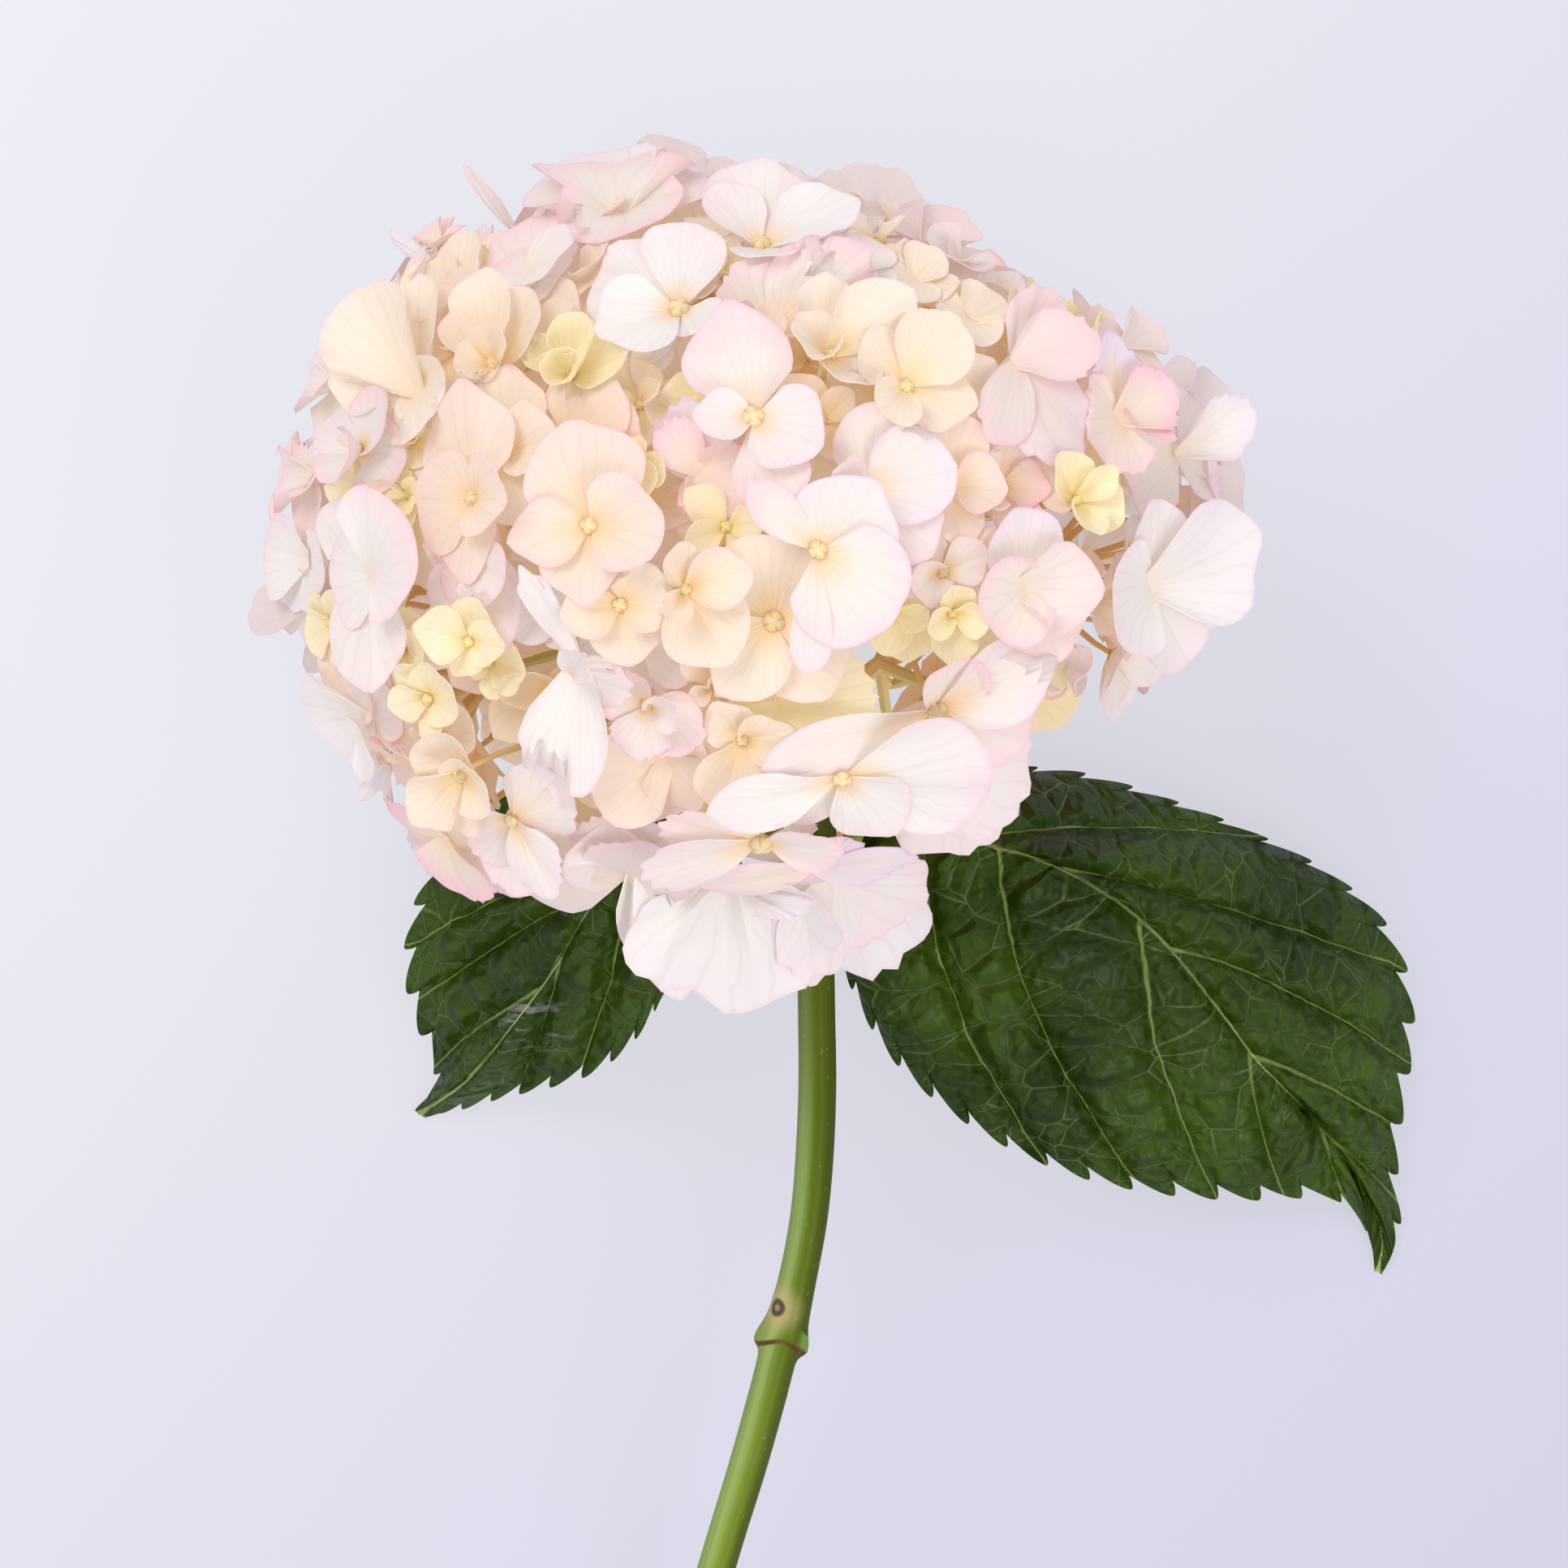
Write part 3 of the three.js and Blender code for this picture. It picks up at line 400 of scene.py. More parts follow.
# %% Smooth lines
STEPS_BETWEEN = 40  # small steps from each given point to the next


def smooth_line(points, count):
    """A curve through points (centripetal Catmull-Rom), returned at count places an equal length
    apart. Between two points it is the cubic whose end slopes come from the neighbours."""
    points = np.asarray(points, float)
    ends = [2 * points[0] - points[1], 2 * points[-1] - points[-2]]
    padded = np.concatenate([ends[:1], points, ends[1:]])
    p0, p1, p2, p3 = padded[:-3], padded[1:-2], padded[2:-1], padded[3:]
    d0, d1, d2 = (np.sqrt(np.linalg.norm(b - a, axis=-1))[:, None] for a, b in
                  ((p0, p1), (p1, p2), (p2, p3)))
    slope1 = d1 * ((p1 - p0) / d0 - (p2 - p0) / (d0 + d1) + (p2 - p1) / d1)
    slope2 = d1 * ((p2 - p1) / d1 - (p3 - p1) / (d1 + d2) + (p3 - p2) / d2)
    t = np.linspace(0, 1, STEPS_BETWEEN + 1)[:-1, None, None]
    curve = (2 * t**3 - 3 * t**2 + 1) * p1 + (t**3 - 2 * t**2 + t) * slope1
    curve = curve + (3 * t**2 - 2 * t**3) * p2 + (t**3 - t**2) * slope2
    curve = np.concatenate([curve.transpose(1, 0, 2).reshape(-1, 3), points[-1:]])
    length = np.cumsum(np.r_[0, np.linalg.norm(np.diff(curve, axis=0), axis=-1)])
    places = np.linspace(0, length[-1], count)
    return np.stack([np.interp(places, length, curve[:, k]) for k in range(3)], -1)


bend = smooth_line([(0, 0, 0), (1, 1, 0), (2, 0, 0)], 5)
print("height of a smooth bend at its quarters:", bend[:, 1].round(2))

# %% [markdown]
# One sepal
#
# What look like petals are four sepals round a tiny bud. Each is thin and nearly round, narrow
# at its foot, and often has a blunt point or a small notch. It could be sculpted by hand, but
# there are hundreds and no two are alike. So one formula makes them all from a few numbers each:
# an outline in polar form about the bud, bent along an arc, with a crease, a curl and a ruffle.

# %% Sheets of sepals
SEPAL_FOOT = 0.7  # mm from the middle of the bud
SEPAL_THICKNESS = (0.34, 0.14)  # mm at the foot and at the edge
HALF_SPREAD = 1.04  # radians from the middle line to the side, for a width of 1


def sepal_sheets(eyes, axes, lengths, low, high, widths, layers, teeth, draws, rows, columns):
    """Sheets of sepals, one for each eye. axes holds each sepal's outward, sideways and facing
    directions. A point at angle f of the half spread and share q of the reach lies at distance
    length x outline(f) x q from the eye, on an arc that climbs at the angle low at the foot and
    high at the tip. The outline falls off with f, evenly and with a high power of f, and sine
    waves give it a lean, lobes and teeth. The sheet is then pushed along its normal by a layer,
    a ruffle, a curl and a crease. Ten random draws from 0 to 1 make each sepal its own."""
    q = np.linspace(0, 1, rows + 1)[None, :, None]
    f = np.linspace(-1, 1, columns + 1)[None, None, :]
    length, low, high, width, layer, tooth = (
        np.asarray(a, float)[:, None, None] for a in (lengths, low, high, widths, layers, teeth))
    d = draws[:, :, None, None]
    angle = f * HALF_SPREAD * width
    # outline: a blunt fall-off, a point in the middle, a lean to one side, waves and teeth
    outline = 1 - (0.04 + 0.27 * d[:, 0]) * np.abs(f) - 0.34 * np.abs(f) ** 3.5
    outline = outline * (0.97 + (0.01 + 0.10 * d[:, 1] ** 2) * np.exp(-((angle / 0.2) ** 2)))
    outline = outline * (1 + 0.20 * (d[:, 2] - 0.5) * np.sin(1.6 * angle))
    outline = outline * (1 + 0.026 * np.sin(6 * angle + 6.3 * d[:, 3]))
    notches = np.sin(24 * angle + 4 * np.sin(5 * angle + 6.3 * d[:, 8]))
    outline = outline * (1 + (0.006 + 0.03 * tooth) * notches * (np.abs(f) < 0.9))
    # arc: how far out and how high each point comes along it
    reach = SEPAL_FOOT + (length * outline - SEPAL_FOOT) * q
    turn = np.where(np.abs(high - low) < 1e-3, 1e-3, high - low)
    climb = low + turn * reach / length
    out = length * (np.sin(climb) - np.sin(low)) / turn
    rise = length * (np.cos(low) - np.cos(climb)) / turn
    outward, sideways, facing = (axes[:, k][:, None, None] for k in range(3))
    spread = np.cos(angle)[..., None] * outward + np.sin(angle)[..., None] * sideways
    points = out[..., None] * spread + rise[..., None] * facing
    normal = np.cos(climb)[..., None] * facing - np.sin(climb)[..., None] * spread
    # push: waves and curls in mm for a sepal of 16 mm, and a crease down the middle
    size = length / 16
    ruffle = (0.2 + 0.7 * d[:, 4]) * q**3 * np.sin(angle * (2.0 + 3.0 * d[:, 5]) + 6.3 * d[:, 6])
    curl = (4.2 * d[:, 7] - 0.5) * angle**2 * q**1.4
    frill = 0.22 * q**5 * np.sin(10 * angle + 6.3 * d[:, 8])
    tip_curl = (2.6 * d[:, 9] - 1.2) * q**4 * np.cos(angle) ** 2
    crease = -0.28 * np.exp(-((angle / 0.1) ** 2)) * np.sin(np.pi * q)
    push = 0.8 * layer * np.minimum(1, 2 * q) + size * (ruffle + curl + frill + tip_curl) + crease
    sheets = np.asarray(eyes)[:, None, None] + (points + normal * push[..., None])
    return sheets, q + 0 * f + 0 * length, f + 0 * q + 0 * length


print("sepals are", SEPAL_THICKNESS[0], "mm thick at the foot,", SEPAL_THICKNESS[1], "at the edge")

# %% [markdown]
# Tucking sepals under each other
#
# On a real head the florets overlap like roof tiles. A cloth simulation could push them apart,
# but for a thousand sepals it would be slow and hard to steer. So the florets are laid from the
# front to the back, and a map over the head keeps how low the ones so far hang. Each new sepal
# bends down just enough to lie under the map, and the table bends up what comes too low.


# %% The map of what lies in front
def finer(values, times, axis):
    """Values with more points between them along an axis, on straight lines."""
    count = values.shape[axis]
    places = np.linspace(0, count - 1, (count - 1) * times + 1)
    before = np.minimum(places.astype(int), count - 2)
    share = np.expand_dims(places - before, tuple(range(1, values.ndim - axis)))
    return np.take(values, before, axis) * (1 - share) + np.take(values, before + 1, axis) * share


CELL = 0.75  # mm
MAP_CELLS = 300
NOTHING_ABOVE = 1000.0  # mm
TUCK_GAP = 0.5  # mm between a sepal and the one that covers it
DEEPEST_TUCK = 9.0  # mm; a sepal that stands further out than this stays


class Ceiling:
    """A map of how low the sepals laid so far hang, over a level grid round the head."""

    def __init__(self):
        self.heights = np.full((MAP_CELLS, MAP_CELLS), NOTHING_ABOVE)

    def cells(self, points):
        """The cell of the map that each point lies in, as its column and its row."""
        level = (points[..., :2] - HEAD_MIDDLE[:2]) / CELL + MAP_CELLS / 2
        level = np.clip(level.astype(int), 0, MAP_CELLS - 1)
        return level[..., 0], level[..., 1]

    def add(self, sheets):
        """Lowers the map to the sheets, with points between theirs so that no cell is missed."""
        points = finer(finer(sheets, 4, 1), 3, 2)
        np.minimum.at(self.heights, self.cells(points), points[..., 2])

    def excess(self, sheets, gap):
        """How far the points have to go down to lie under the map by the gap."""
        over = sheets[..., 2] - self.heights[self.cells(sheets)] + gap
        return np.where(over > DEEPEST_TUCK, 0, np.maximum(over, 0))


print("map:", CELL * MAP_CELLS, "mm wide, in cells of", CELL, "mm")


# %% Tucking florets under the map
def tuck_under(sheets, order, ceiling):
    """Lays florets in the given order, front ones first, so that each passes under those before
    it. What lies further out on a sepal goes down at least as far as what lies further in, so
    the sepal bends and isn't torn. Of one floret, every other sepal lies over its neighbours.
    Returns how far each bud goes down."""
    reach = np.linspace(0, 1, sheets.shape[1])[:, None]
    gap = TUCK_GAP * np.minimum(1, 2.5 * reach)
    last = sheets.shape[2] - 1
    sunk = np.zeros(len(sheets) // 4)
    for floret in order:
        own = slice(4 * floret, 4 * floret + 4)
        sunk[floret] = ceiling.excess(sheets[own, :1], TUCK_GAP).max()
        sheets[own, ..., 2] -= sunk[floret]
        for upper_pair in (1, 0):
            pair = slice(4 * floret + upper_pair, 4 * floret + 4, 2)
            drop = np.maximum.accumulate(ceiling.excess(sheets[pair], gap), axis=1)
            left = drop[..., np.r_[0, :last]]
            right = drop[..., np.r_[1:last + 1, last]]
            sheets[pair, ..., 2] -= np.maximum(drop, (left + right) / 2)
            ceiling.add(sheets[pair])
    return sunk


print("a sepal bends down by", DEEPEST_TUCK, "mm at most")


# %% Pressing against the table
TABLE_GAP = 0.3  # mm over the table, where sepals begin to be held up
TABLE_PRESS = 0.12  # mm that the lowest are pressed below the gap
TABLE_SOFT = 1.5  # mm over which a sepal bends as it meets the table


def on_table(height):
    """Heights pressed up by the table: a smooth maximum of the height and the gap, which is half
    of their sum and of the rounded distance between them."""
    excess = height - TABLE_GAP
    return TABLE_GAP + 0.5 * (excess + np.sqrt(excess**2 + TABLE_SOFT**2)) - TABLE_PRESS


print("a tip 5 mm too low comes to", round(on_table(-5.0), 2), "mm over the table")


# %% Shells of sepals
def sepal_shells(sepals, rows, columns, order=(), ceiling=None):
    """Closed thin shells for a batch of sepals, the numbers their finish needs, and how far
    their buds went down when the florets of the order were tucked under the ceiling."""
    sheets, reach, across = sepal_sheets(
        sepals["eye"], sepals["axes"], sepals["length"], sepals["low"], sepals["high"],
        sepals["width"], sepals["layer"], sepals["teeth"], sepals["draws"], rows, columns)
    sunk = tuck_under(sheets, order, ceiling)
    sheets[..., 2] = on_table(sheets[..., 2])
    foot, edge = SEPAL_THICKNESS
    shells = thicken(sheets, foot + (edge - foot) * reach)
    values = {"reach": reach, "across": across}
    for key in ("warm", "blush", "young", "dull_and_shade", "draw", "front"):
        values[key] = np.broadcast_to(sepals[key][:, None, None], reach.shape)
    values = {key: np.stack([v, v], 1).ravel() for key, v in values.items()}
    return shells, values, sunk


print("eight numbers on each point of a sepal tell its finish where it is and whose it is")

# %% [markdown]
# The florets
#
# The side that faces the camera is listed: each row of the list below is one floret,
# read from the picture, with the pixel of its bud, its four sepal tips and how it leans. Only
# the height of a tip is missing in a picture. It is found by trying heights, and keeping the
# one that suits the floret's size and how far it has opened. A floret that is half closed, or
# seen from the side, hides its bud: its sepals start a little behind the middle and have no
# cream heart.

# %% The florets that face up
# each floret: bud x, bud y, sepal in mm, depth in mm under the ball, opening in degrees, tint,
# lean right, lean up, and four tips, each with pixels to the right, pixels down and width
UPPER_FLORETS = (
    # middle of the head
    (928, 515, 17.5, -4, 10, "blush", 0.0, 0.0,
     ((-28, -117, 0.85), (76, 35, 1.15), (34, 98, 0.6), (-68, 0, 1.1))),
    (1007, 678, 19.0, -5, 10, "blush", 0.0, 0.0,
     ((62, -68, 1.15), (82, 85, 1.2), (-74, -72, 0.5), (-12, 142, 0.28))),
    (953, 765, 18.0, 2, 8, "cream", 0.0, 0.0,
     ((-28, -92, 1.05), (105, -15, 1.0), (62, 84, 1.15), (-60, 78, 1.15))),
    (842, 727, 14.0, -1, 30, "cream", 0.3, 0.0,
     ((0, -38, 0.9), (74, -26, 1.1), (50, 78, 1.1), (-18, 36, 1.0))),
    (765, 745, 12.5, -1, 14, "cream", 0.0, 0.0,
     ((-28, -48, 1.0), (60, -22, 1.2), (12, 66, 1.15), (-66, 12, 1.1))),
    (727, 648, 17.0, -2, 10, "peach", 0.0, 0.0,
     ((-18, -112, 1.1), (84, -14, 1.25), (-8, 82, 1.3), (-84, 18, 1.0))),
    (585, 615, 16.5, -3, 9, "peach", -0.34, 0.0,
     ((-20, -122, 0.95), (38, 6, 1.2), (-12, 84, 1.0), (-66, 0, 1.3))),
    (625, 560, 14.5, 0, 12, "cream", -0.1, 0.0,
     ((-2, -94, 1.0), (58, -18, 1.15), (28, 62, 0.9), (-48, -80, 0.3))),
    (838, 383, 17.0, -3, 10, "white", 0.0, 0.0,
     ((-74, -70, 1.3), (14, -98, 0.7), (26, 20, 0.9), (-86, 30, 1.0))),
    (862, 583, 14.0, 5, 15, "rose", 0.0, 0.0,
     ((-18, -82, 1.1), (68, 38, 1.1), (-4, 50, 0.5), (-42, -55, 0.6))),
    (1020, 440, 15.0, -1, 35, "cream", 0.15, 0.1,
     ((2, -90, 0.95), (94, -72, 1.0), (38, 22, 1.4), (-42, -22, 1.2))),
    (1115, 478, 12.5, -2, 15, "cream", 0.1, 0.05,
     ((-32, -68, 1.0), (54, -80, 0.9), (75, 12, 1.1), (-26, 34, 1.0))),
    (1067, 605, 16.0, 1, 15, "blush", 0.0, 0.0,
     ((14, -98, 0.9), (103, -28, 1.15), (72, 70, 1.0), (-43, -15, 1.1))),
    (1165, 598, 13.5, 4, 20, "peach", 0.1, 0.0,
     ((8, -78, 1.0), (68, 5, 1.3), (22, 70, 1.0), (-40, 10, 0.9))),
    (1232, 600, 13.0, 7, 25, "rose", 0.15, 0.0,
     ((15, -62, 1.1), (52, 5, 1.3), (18, 58, 1.1), (-40, 0, 0.9))),
    (1012, 520, 12.0, 6, 25, "deep", 0.0, 0.0,
     ((-38, -50, 1.0), (38, -34, 1.1), (28, 35, 1.0), (-30, 20, 1.0))),
    (895, 650, 12.0, 4, 20, "young", 0.0, 0.0,
     ((-40, -38, 0.8), (48, -8, 0.8), (30, 34, 0.7), (-48, 20, 0.8))),
    (1160, 706, 12.0, 3, 14, "blush", 0.0, 0.0,
     ((-52, -24, 1.0), (50, -24, 1.1), (44, 26, 1.0), (-38, 26, 1.1))),
    (1208, 690, 9.5, 4, 20, "peach", 0.0, 0.0,
     ((34, -28, 1.1), (28, 24, 1.0), (-22, 26, 1.0), (-28, -16, 1.1))),
    (790, 500, 12.0, 6, 25, "deep", 0.0, 0.0,
     ((-20, -50, 1.1), (28, -20, 1.1), (10, 44, 1.0), (-40, 0, 1.0))),
    (785, 575, 9.0, 3, 25, "young", 0.0, 0.0,
     ((-42, -16, 1.0), (6, -36, 1.0), (28, 10, 1.1), (16, 34, 1.1))),
    (712, 545, 14.0, 3, 18, "peach", 0.0, 0.05,
     ((-52, -44, 1.0), (48, -70, 1.1), (62, 20, 1.0), (-20, 22, 1.0))),
    (704, 464, 13.0, 1, 42, "young", 0.0, 0.05,
     ((-50, -44, 1.05), (16, -72, 1.2), (62, -30, 1.05), (0, 16, 1.6))),
    # top of the head
    (945, 415, 17.0, 1, 28, "blush", 0.0, 0.0,
     ((-22, -88, 1.0), (106, -96, 0.9), (40, -28, 0.8), (-42, -28, 0.9))),
    (930, 442, 10.0, 0, 35, "peach", 0.0, 0.0,
     ((-28, -54, 1.0), (20, -66, 0.9), (34, -14, 0.9), (-22, 8, 1.0))),
    (938, 305, 16.0, 0, 22, "white", 0.0, 0.15,
     ((8, -100, 1.0), (108, -50, 0.9), (12, 12, 0.8), (-54, -72, 0.8))),
    (888, 322, 6.0, 3, 40, "young", 0.0, 0.0,
     ((-16, -14, 1.1), (14, -18, 1.1), (16, 10, 1.1), (-14, 14, 1.1))),
    (872, 300, 10.0, 6, 25, "cream", 0.0, 0.1,
     ((-22, -50, 1.0), (20, -30, 0.9), (16, 16, 1.0), (-26, 10, 1.0))),
    (765, 262, 18.0, 2, 8, "blush", 0.0, 0.25,
     ((-78, -62, 1.1), (28, -68, 1.35), (102, -28, 1.0), (16, 34, 1.2))),
    (850, 238, 13.0, 16, 10, "grey", 0.0, 0.2,
     ((-46, -68, 0.9), (26, -30, 0.8), (30, 20, 0.9), (-30, 10, 0.9))),
    (1058, 290, 15.0, 12, 12, "grey", 0.0, 0.2,
     ((10, -95, 1.2), (40, -30, 0.8), (6, 12, 0.8), (-42, -42, 0.9))),
    (1140, 312, 10.5, 10, 18, "dusty", 0.1, 0.2,
     ((-5, -60, 1.25), (40, -38, 1.0), (8, 12, 0.8), (-44, -22, 1.0))),
    (1082, 300, 9.0, 2, 28, "cream", 0.0, 0.05,
     ((-26, -18, 1.1), (24, -14, 1.1), (18, 24, 1.0), (-16, 24, 1.0))),
    (1180, 325, 9.5, 4, 18, "dusty", 0.1, 0.1,
     ((32, -22, 1.0), (14, 18, 1.0), (-26, 20, 1.0), (-34, -20, 1.0))),
    (1128, 345, 10.0, 1, 28, "cream", 0.05, 0.1,
     ((-26, -34, 1.1), (26, -30, 1.1), (22, 26, 1.0), (-24, 24, 1.0))),
    (1190, 392, 11.0, 1, 22, "cream", 0.1, 0.05,
     ((-38, -20, 1.0), (36, -24, 1.1), (34, 20, 1.1), (-18, 32, 1.1))),
    (1060, 335, 11.0, -1, 15, "white", 0.0, 0.05,
     ((-34, -24, 1.0), (24, -34, 1.1), (28, 24, 1.1), (-30, 28, 1.0))),
    (1140, 386, 9.0, 2, 18, "blush", 0.0, 0.0,
     ((-22, -26, 1.0), (26, -20, 1.1), (14, 20, 1.1), (-24, 12, 1.0))),
    (558, 395, 14.5, 3, 10, "cream", 0.0, 0.1,
     ((4, -102, 0.65), (28, -30, 0.9), (-30, 12, 0.9), (-40, -52, 0.8))),
    (655, 345, 14.0, 1, 18, "blush", 0.0, 0.1,
     ((-5, -80, 1.25), (54, -28, 1.1), (14, 24, 1.0), (-42, -24, 1.0))),
    (600, 330, 12.0, 6, 18, "cream", 0.0, 0.1,
     ((-30, -34, 1.0), (10, -40, 0.9), (25, 20, 1.0), (-25, 25, 1.0))),
    (668, 420, 12.0, 3, 28, "cream", 0.0, 0.05,
     ((15, -76, 1.1), (42, -32, 0.9), (5, 22, 1.0), (-32, -26, 1.0))),
    (720, 350, 12.0, 4, 18, "peach", 0.0, 0.1,
     ((-6, -48, 1.1), (34, -20, 1.0), (22, 40, 1.0), (-30, 30, 1.0))),
    (740, 300, 12.0, 6, 18, "peach", 0.0, 0.15,
     ((-44, -24, 1.0), (24, -32, 1.0), (34, 22, 1.0), (-20, 30, 1.0))),
    (610, 452, 15.0, 0, 42, "cream", 0.0, 0.1,
     ((-46, -66, 0.95), (-4, -110, 1.0), (42, -68, 1.0), (0, 12, 1.3))),
    (564, 430, 13.0, 2, 18, "peach", -0.1, 0.0,
     ((-38, -72, 0.9), (22, -22, 0.8), (-15, 66, 1.0), (-60, 5, 1.25))),
    (520, 482, 17.0, 1, 36, "cream", -0.1, 0.1,
     ((-10, -122, 0.95), (22, 36, 0.9), (-96, -12, 0.9), (-78, -112, 1.15))),
    (540, 302, 7.0, 12, 18, "rose", -0.1, 0.2,
     ((0, -30, 1.2), (27, -10, 1.0), (4, 12, 1.0), (-27, -8, 1.2))),
    # left side
    (445, 555, 12.0, 0, 32, "lilac", -0.05, 0.0,
     ((-50, -28, 1.1), (42, -50, 0.9), (48, 12, 1.0), (-12, 34, 1.2))),
    (505, 612, 9.0, 5, 28, "young", 0.0, 0.0,
     ((-10, -38, 1.0), (16, 0, 1.0), (-10, 36, 1.1), (-20, 0, 1.0))),
    (510, 545, 8.0, 4, 28, "young", 0.0, 0.0,
     ((-20, -16, 1.1), (18, -20, 1.1), (16, 18, 1.0), (-16, 16, 1.0))),
    (463, 708, 17.0, -1, 22, "white", -0.15, 0.0,
     ((-22, -88, 1.15), (46, -45, 1.1), (-10, 124, 0.95), (-58, -10, 1.15))),
    (592, 692, 15.5, 1, 8, "blush", -0.1, 0.0,
     ((10, -40, 0.9), (40, 20, 0.9), (16, 98, 1.2), (-38, 35, 0.8))),
    (412, 768, 8.5, 3, 24, "young", 0.0, 0.0,
     ((-20, -32, 1.1), (24, -12, 1.1), (12, 32, 1.1), (-26, 18, 1.1))),
    (410, 475, 10.0, 6, 14, "blush", -0.1, 0.0,
     ((-22, -36, 1.15), (22, -24, 1.0), (6, 60, 1.1), (-38, 28, 1.0))),
    (385, 590, 12.0, 6, 14, "blush", -0.1, 0.0,
     ((-40, -36, 1.15), (22, -32, 1.0), (0, 62, 1.0), (-46, 22, 1.1))),
    (385, 690, 11.0, 5, 14, "white", -0.1, 0.0,
     ((16, -32, 1.0), (16, 32, 1.0), (-44, 34, 1.1), (-55, -20, 1.15))),
    (395, 735, 13.0, 8, 8, "grey", -0.1, -0.1,
     ((-20, -55, 0.8), (12, 12, 1.0), (-10, 55, 1.0), (-80, 22, 0.55))),
    (450, 840, 12.0, 4, 18, "peach", -0.1, -0.1,
     ((10, -36, 1.0), (16, 22, 1.0), (-30, 20, 0.9), (-54, -26, 1.0))),
    (455, 885, 13.0, 3, 8, "white", -0.1, -0.2,
     ((15, -32, 0.9), (16, 42, 1.0), (-22, 55, 1.0), (-60, 5, 1.3))),
    (500, 800, 9.0, 3, 28, "young", 0.0, 0.0,
     ((10, -40, 1.1), (30, 10, 1.0), (6, 42, 1.1), (-22, 10, 1.1))),
    (530, 860, 11.0, 0, 28, "young", 0.0, 0.0,
     ((-20, -36, 1.1), (34, -14, 1.1), (10, 32, 1.2), (-44, 10, 1.15))),
    (545, 905, 10.5, 4, 18, "cream", 0.0, 0.0,
     ((22, -26, 1.0), (16, 26, 1.0), (-12, 42, 1.0), (-26, -6, 1.0))),
    (515, 935, 12.0, 5, 18, "peach", 0.0, -0.1,
     ((16, -36, 1.0), (26, 16, 1.0), (-22, 26, 1.0), (-36, -30, 0.9))),
    (480, 945, 10.0, 6, 12, "lilac", -0.1, -0.2,
     ((10, -22, 0.8), (6, 50, 0.3), (-40, 36, 0.25), (-32, 6, 0.6))),
    (580, 790, 9.5, -2, 14, "young", 0.0, 0.0,
     ((8, -42, 1.15), (43, 5, 1.0), (-20, 35, 1.25), (-58, -16, 1.15))),
    (605, 815, 9.5, 4, 24, "young", 0.0, 0.0,
     ((12, -26, 1.0), (46, 14, 1.15), (12, 33, 1.15), (-26, 10, 1.0))),
    # right side
    (1252, 448, 16.5, -2, 26, "dusty", 0.0, 0.0,
     ((44, -86, 0.6), (88, -34, 0.85), (56, 112, 0.95), (-24, 92, 0.45))),
    (1375, 515, 13.5, 0, 28, "rose", 0.1, 0.0,
     ((-12, -86, 1.0), (58, -42, 0.95), (44, 34, 0.9), (-34, 34, 1.0))),
    (1385, 425, 9.0, 5, 24, "dusty", 0.0, 0.05,
     ((-36, -24, 1.1), (34, -16, 1.1), (36, 38, 0.9), (-26, 30, 1.0))),
    (1448, 558, 13.0, 0, 24, "blush", 0.1, 0.0,
     ((32, -54, 1.15), (84, -50, 0.9), (50, 30, 0.8), (-64, 36, 0.85))),
    (1400, 575, 9.5, 4, 20, "cream", 0.0, 0.0,
     ((-30, -26, 1.0), (25, -30, 1.0), (30, 20, 1.0), (-18, 26, 1.0))),
    (1323, 617, 9.5, -3, 34, "young", 0.1, 0.0,
     ((-14, -44, 1.1), (46, -40, 0.95), (56, 20, 1.15), (6, 42, 1.15))),
    (1412, 718, 19.0, -2, 14, "white", 0.05, 0.0,
     ((-2, -84, 0.95), (116, -56, 1.0), (26, 100, 1.45), (-50, 40, 0.9))),
    (1258, 725, 14.0, -1, 18, "blush", 0.1, 0.0,
     ((-5, -84, 0.9), (90, 0, 1.25), (42, 72, 1.15), (-46, 42, 1.2))),
    (1171, 755, 9.0, 0, 38, "young", 0.0, -0.1,
     ((6, -18, 1.2), (48, 8, 1.25), (6, 54, 1.25), (-30, 22, 1.1))),
    (1110, 755, 10.0, 4, 32, "young", 0.0, 0.0,
     ((-5, -36, 1.1), (34, 14, 1.1), (8, 54, 1.15), (-38, 36, 1.1))),
    (1303, 825, 9.0, 8, 20, "dusty", 0.05, -0.05,
     ((20, -22, 1.1), (6, 28, 1.1), (-22, 14, 1.0), (-18, -20, 1.0))),
    # lower side
    (1153, 875, 21.0, -1, 14, "blush", 0.05, -0.1,
     ((30, -46, 0.8), (128, -62, 0.75), (108, 34, 0.9), (-184, 58, 0.3))),
    (1037, 958, 22.0, -5, 9, "white", 0.0, -0.1,
     ((166, -6, 0.72), (58, 58, 1.05), (-70, 50, 0.8), (-142, 40, 0.42))),
    (1172, 945, 18.0, 5, 9, "white", 0.05, -0.05,
     ((70, -62, 0.9), (90, 16, 1.25), (22, 98, 1.15), (-52, 60, 0.8))),
    (938, 1036, 18.0, -4, 12, "blush", 0.0, -0.4,
     ((-112, -14, 0.6), (88, 4, 0.75), (24, 26, 1.2), (-134, 34, 0.55))),
    (905, 1078, 22.0, 6, 8, "white", 0.0, -0.1,
     ((-84, 26, 0.6), (92, 8, 0.5), (84, 92, 0.7), (10, 138, 1.4))),
    (1026, 1066, 20.0, 5, 8, "white", 0.0, -0.1,
     ((-70, 6, 0.5), (100, 52, 1.1), (44, 128, 1.15), (-24, 120, 0.6))),
    (1000, 1066, 16.0, -1, 4, "rose", 0.0, -0.45,
     ((30, -24, 0.8), (106, -12, 0.55), (50, 22, 0.8), (-124, 22, 0.45))),
    (790, 1045, 19.0, 10, 8, "white", 0.0, -0.1,
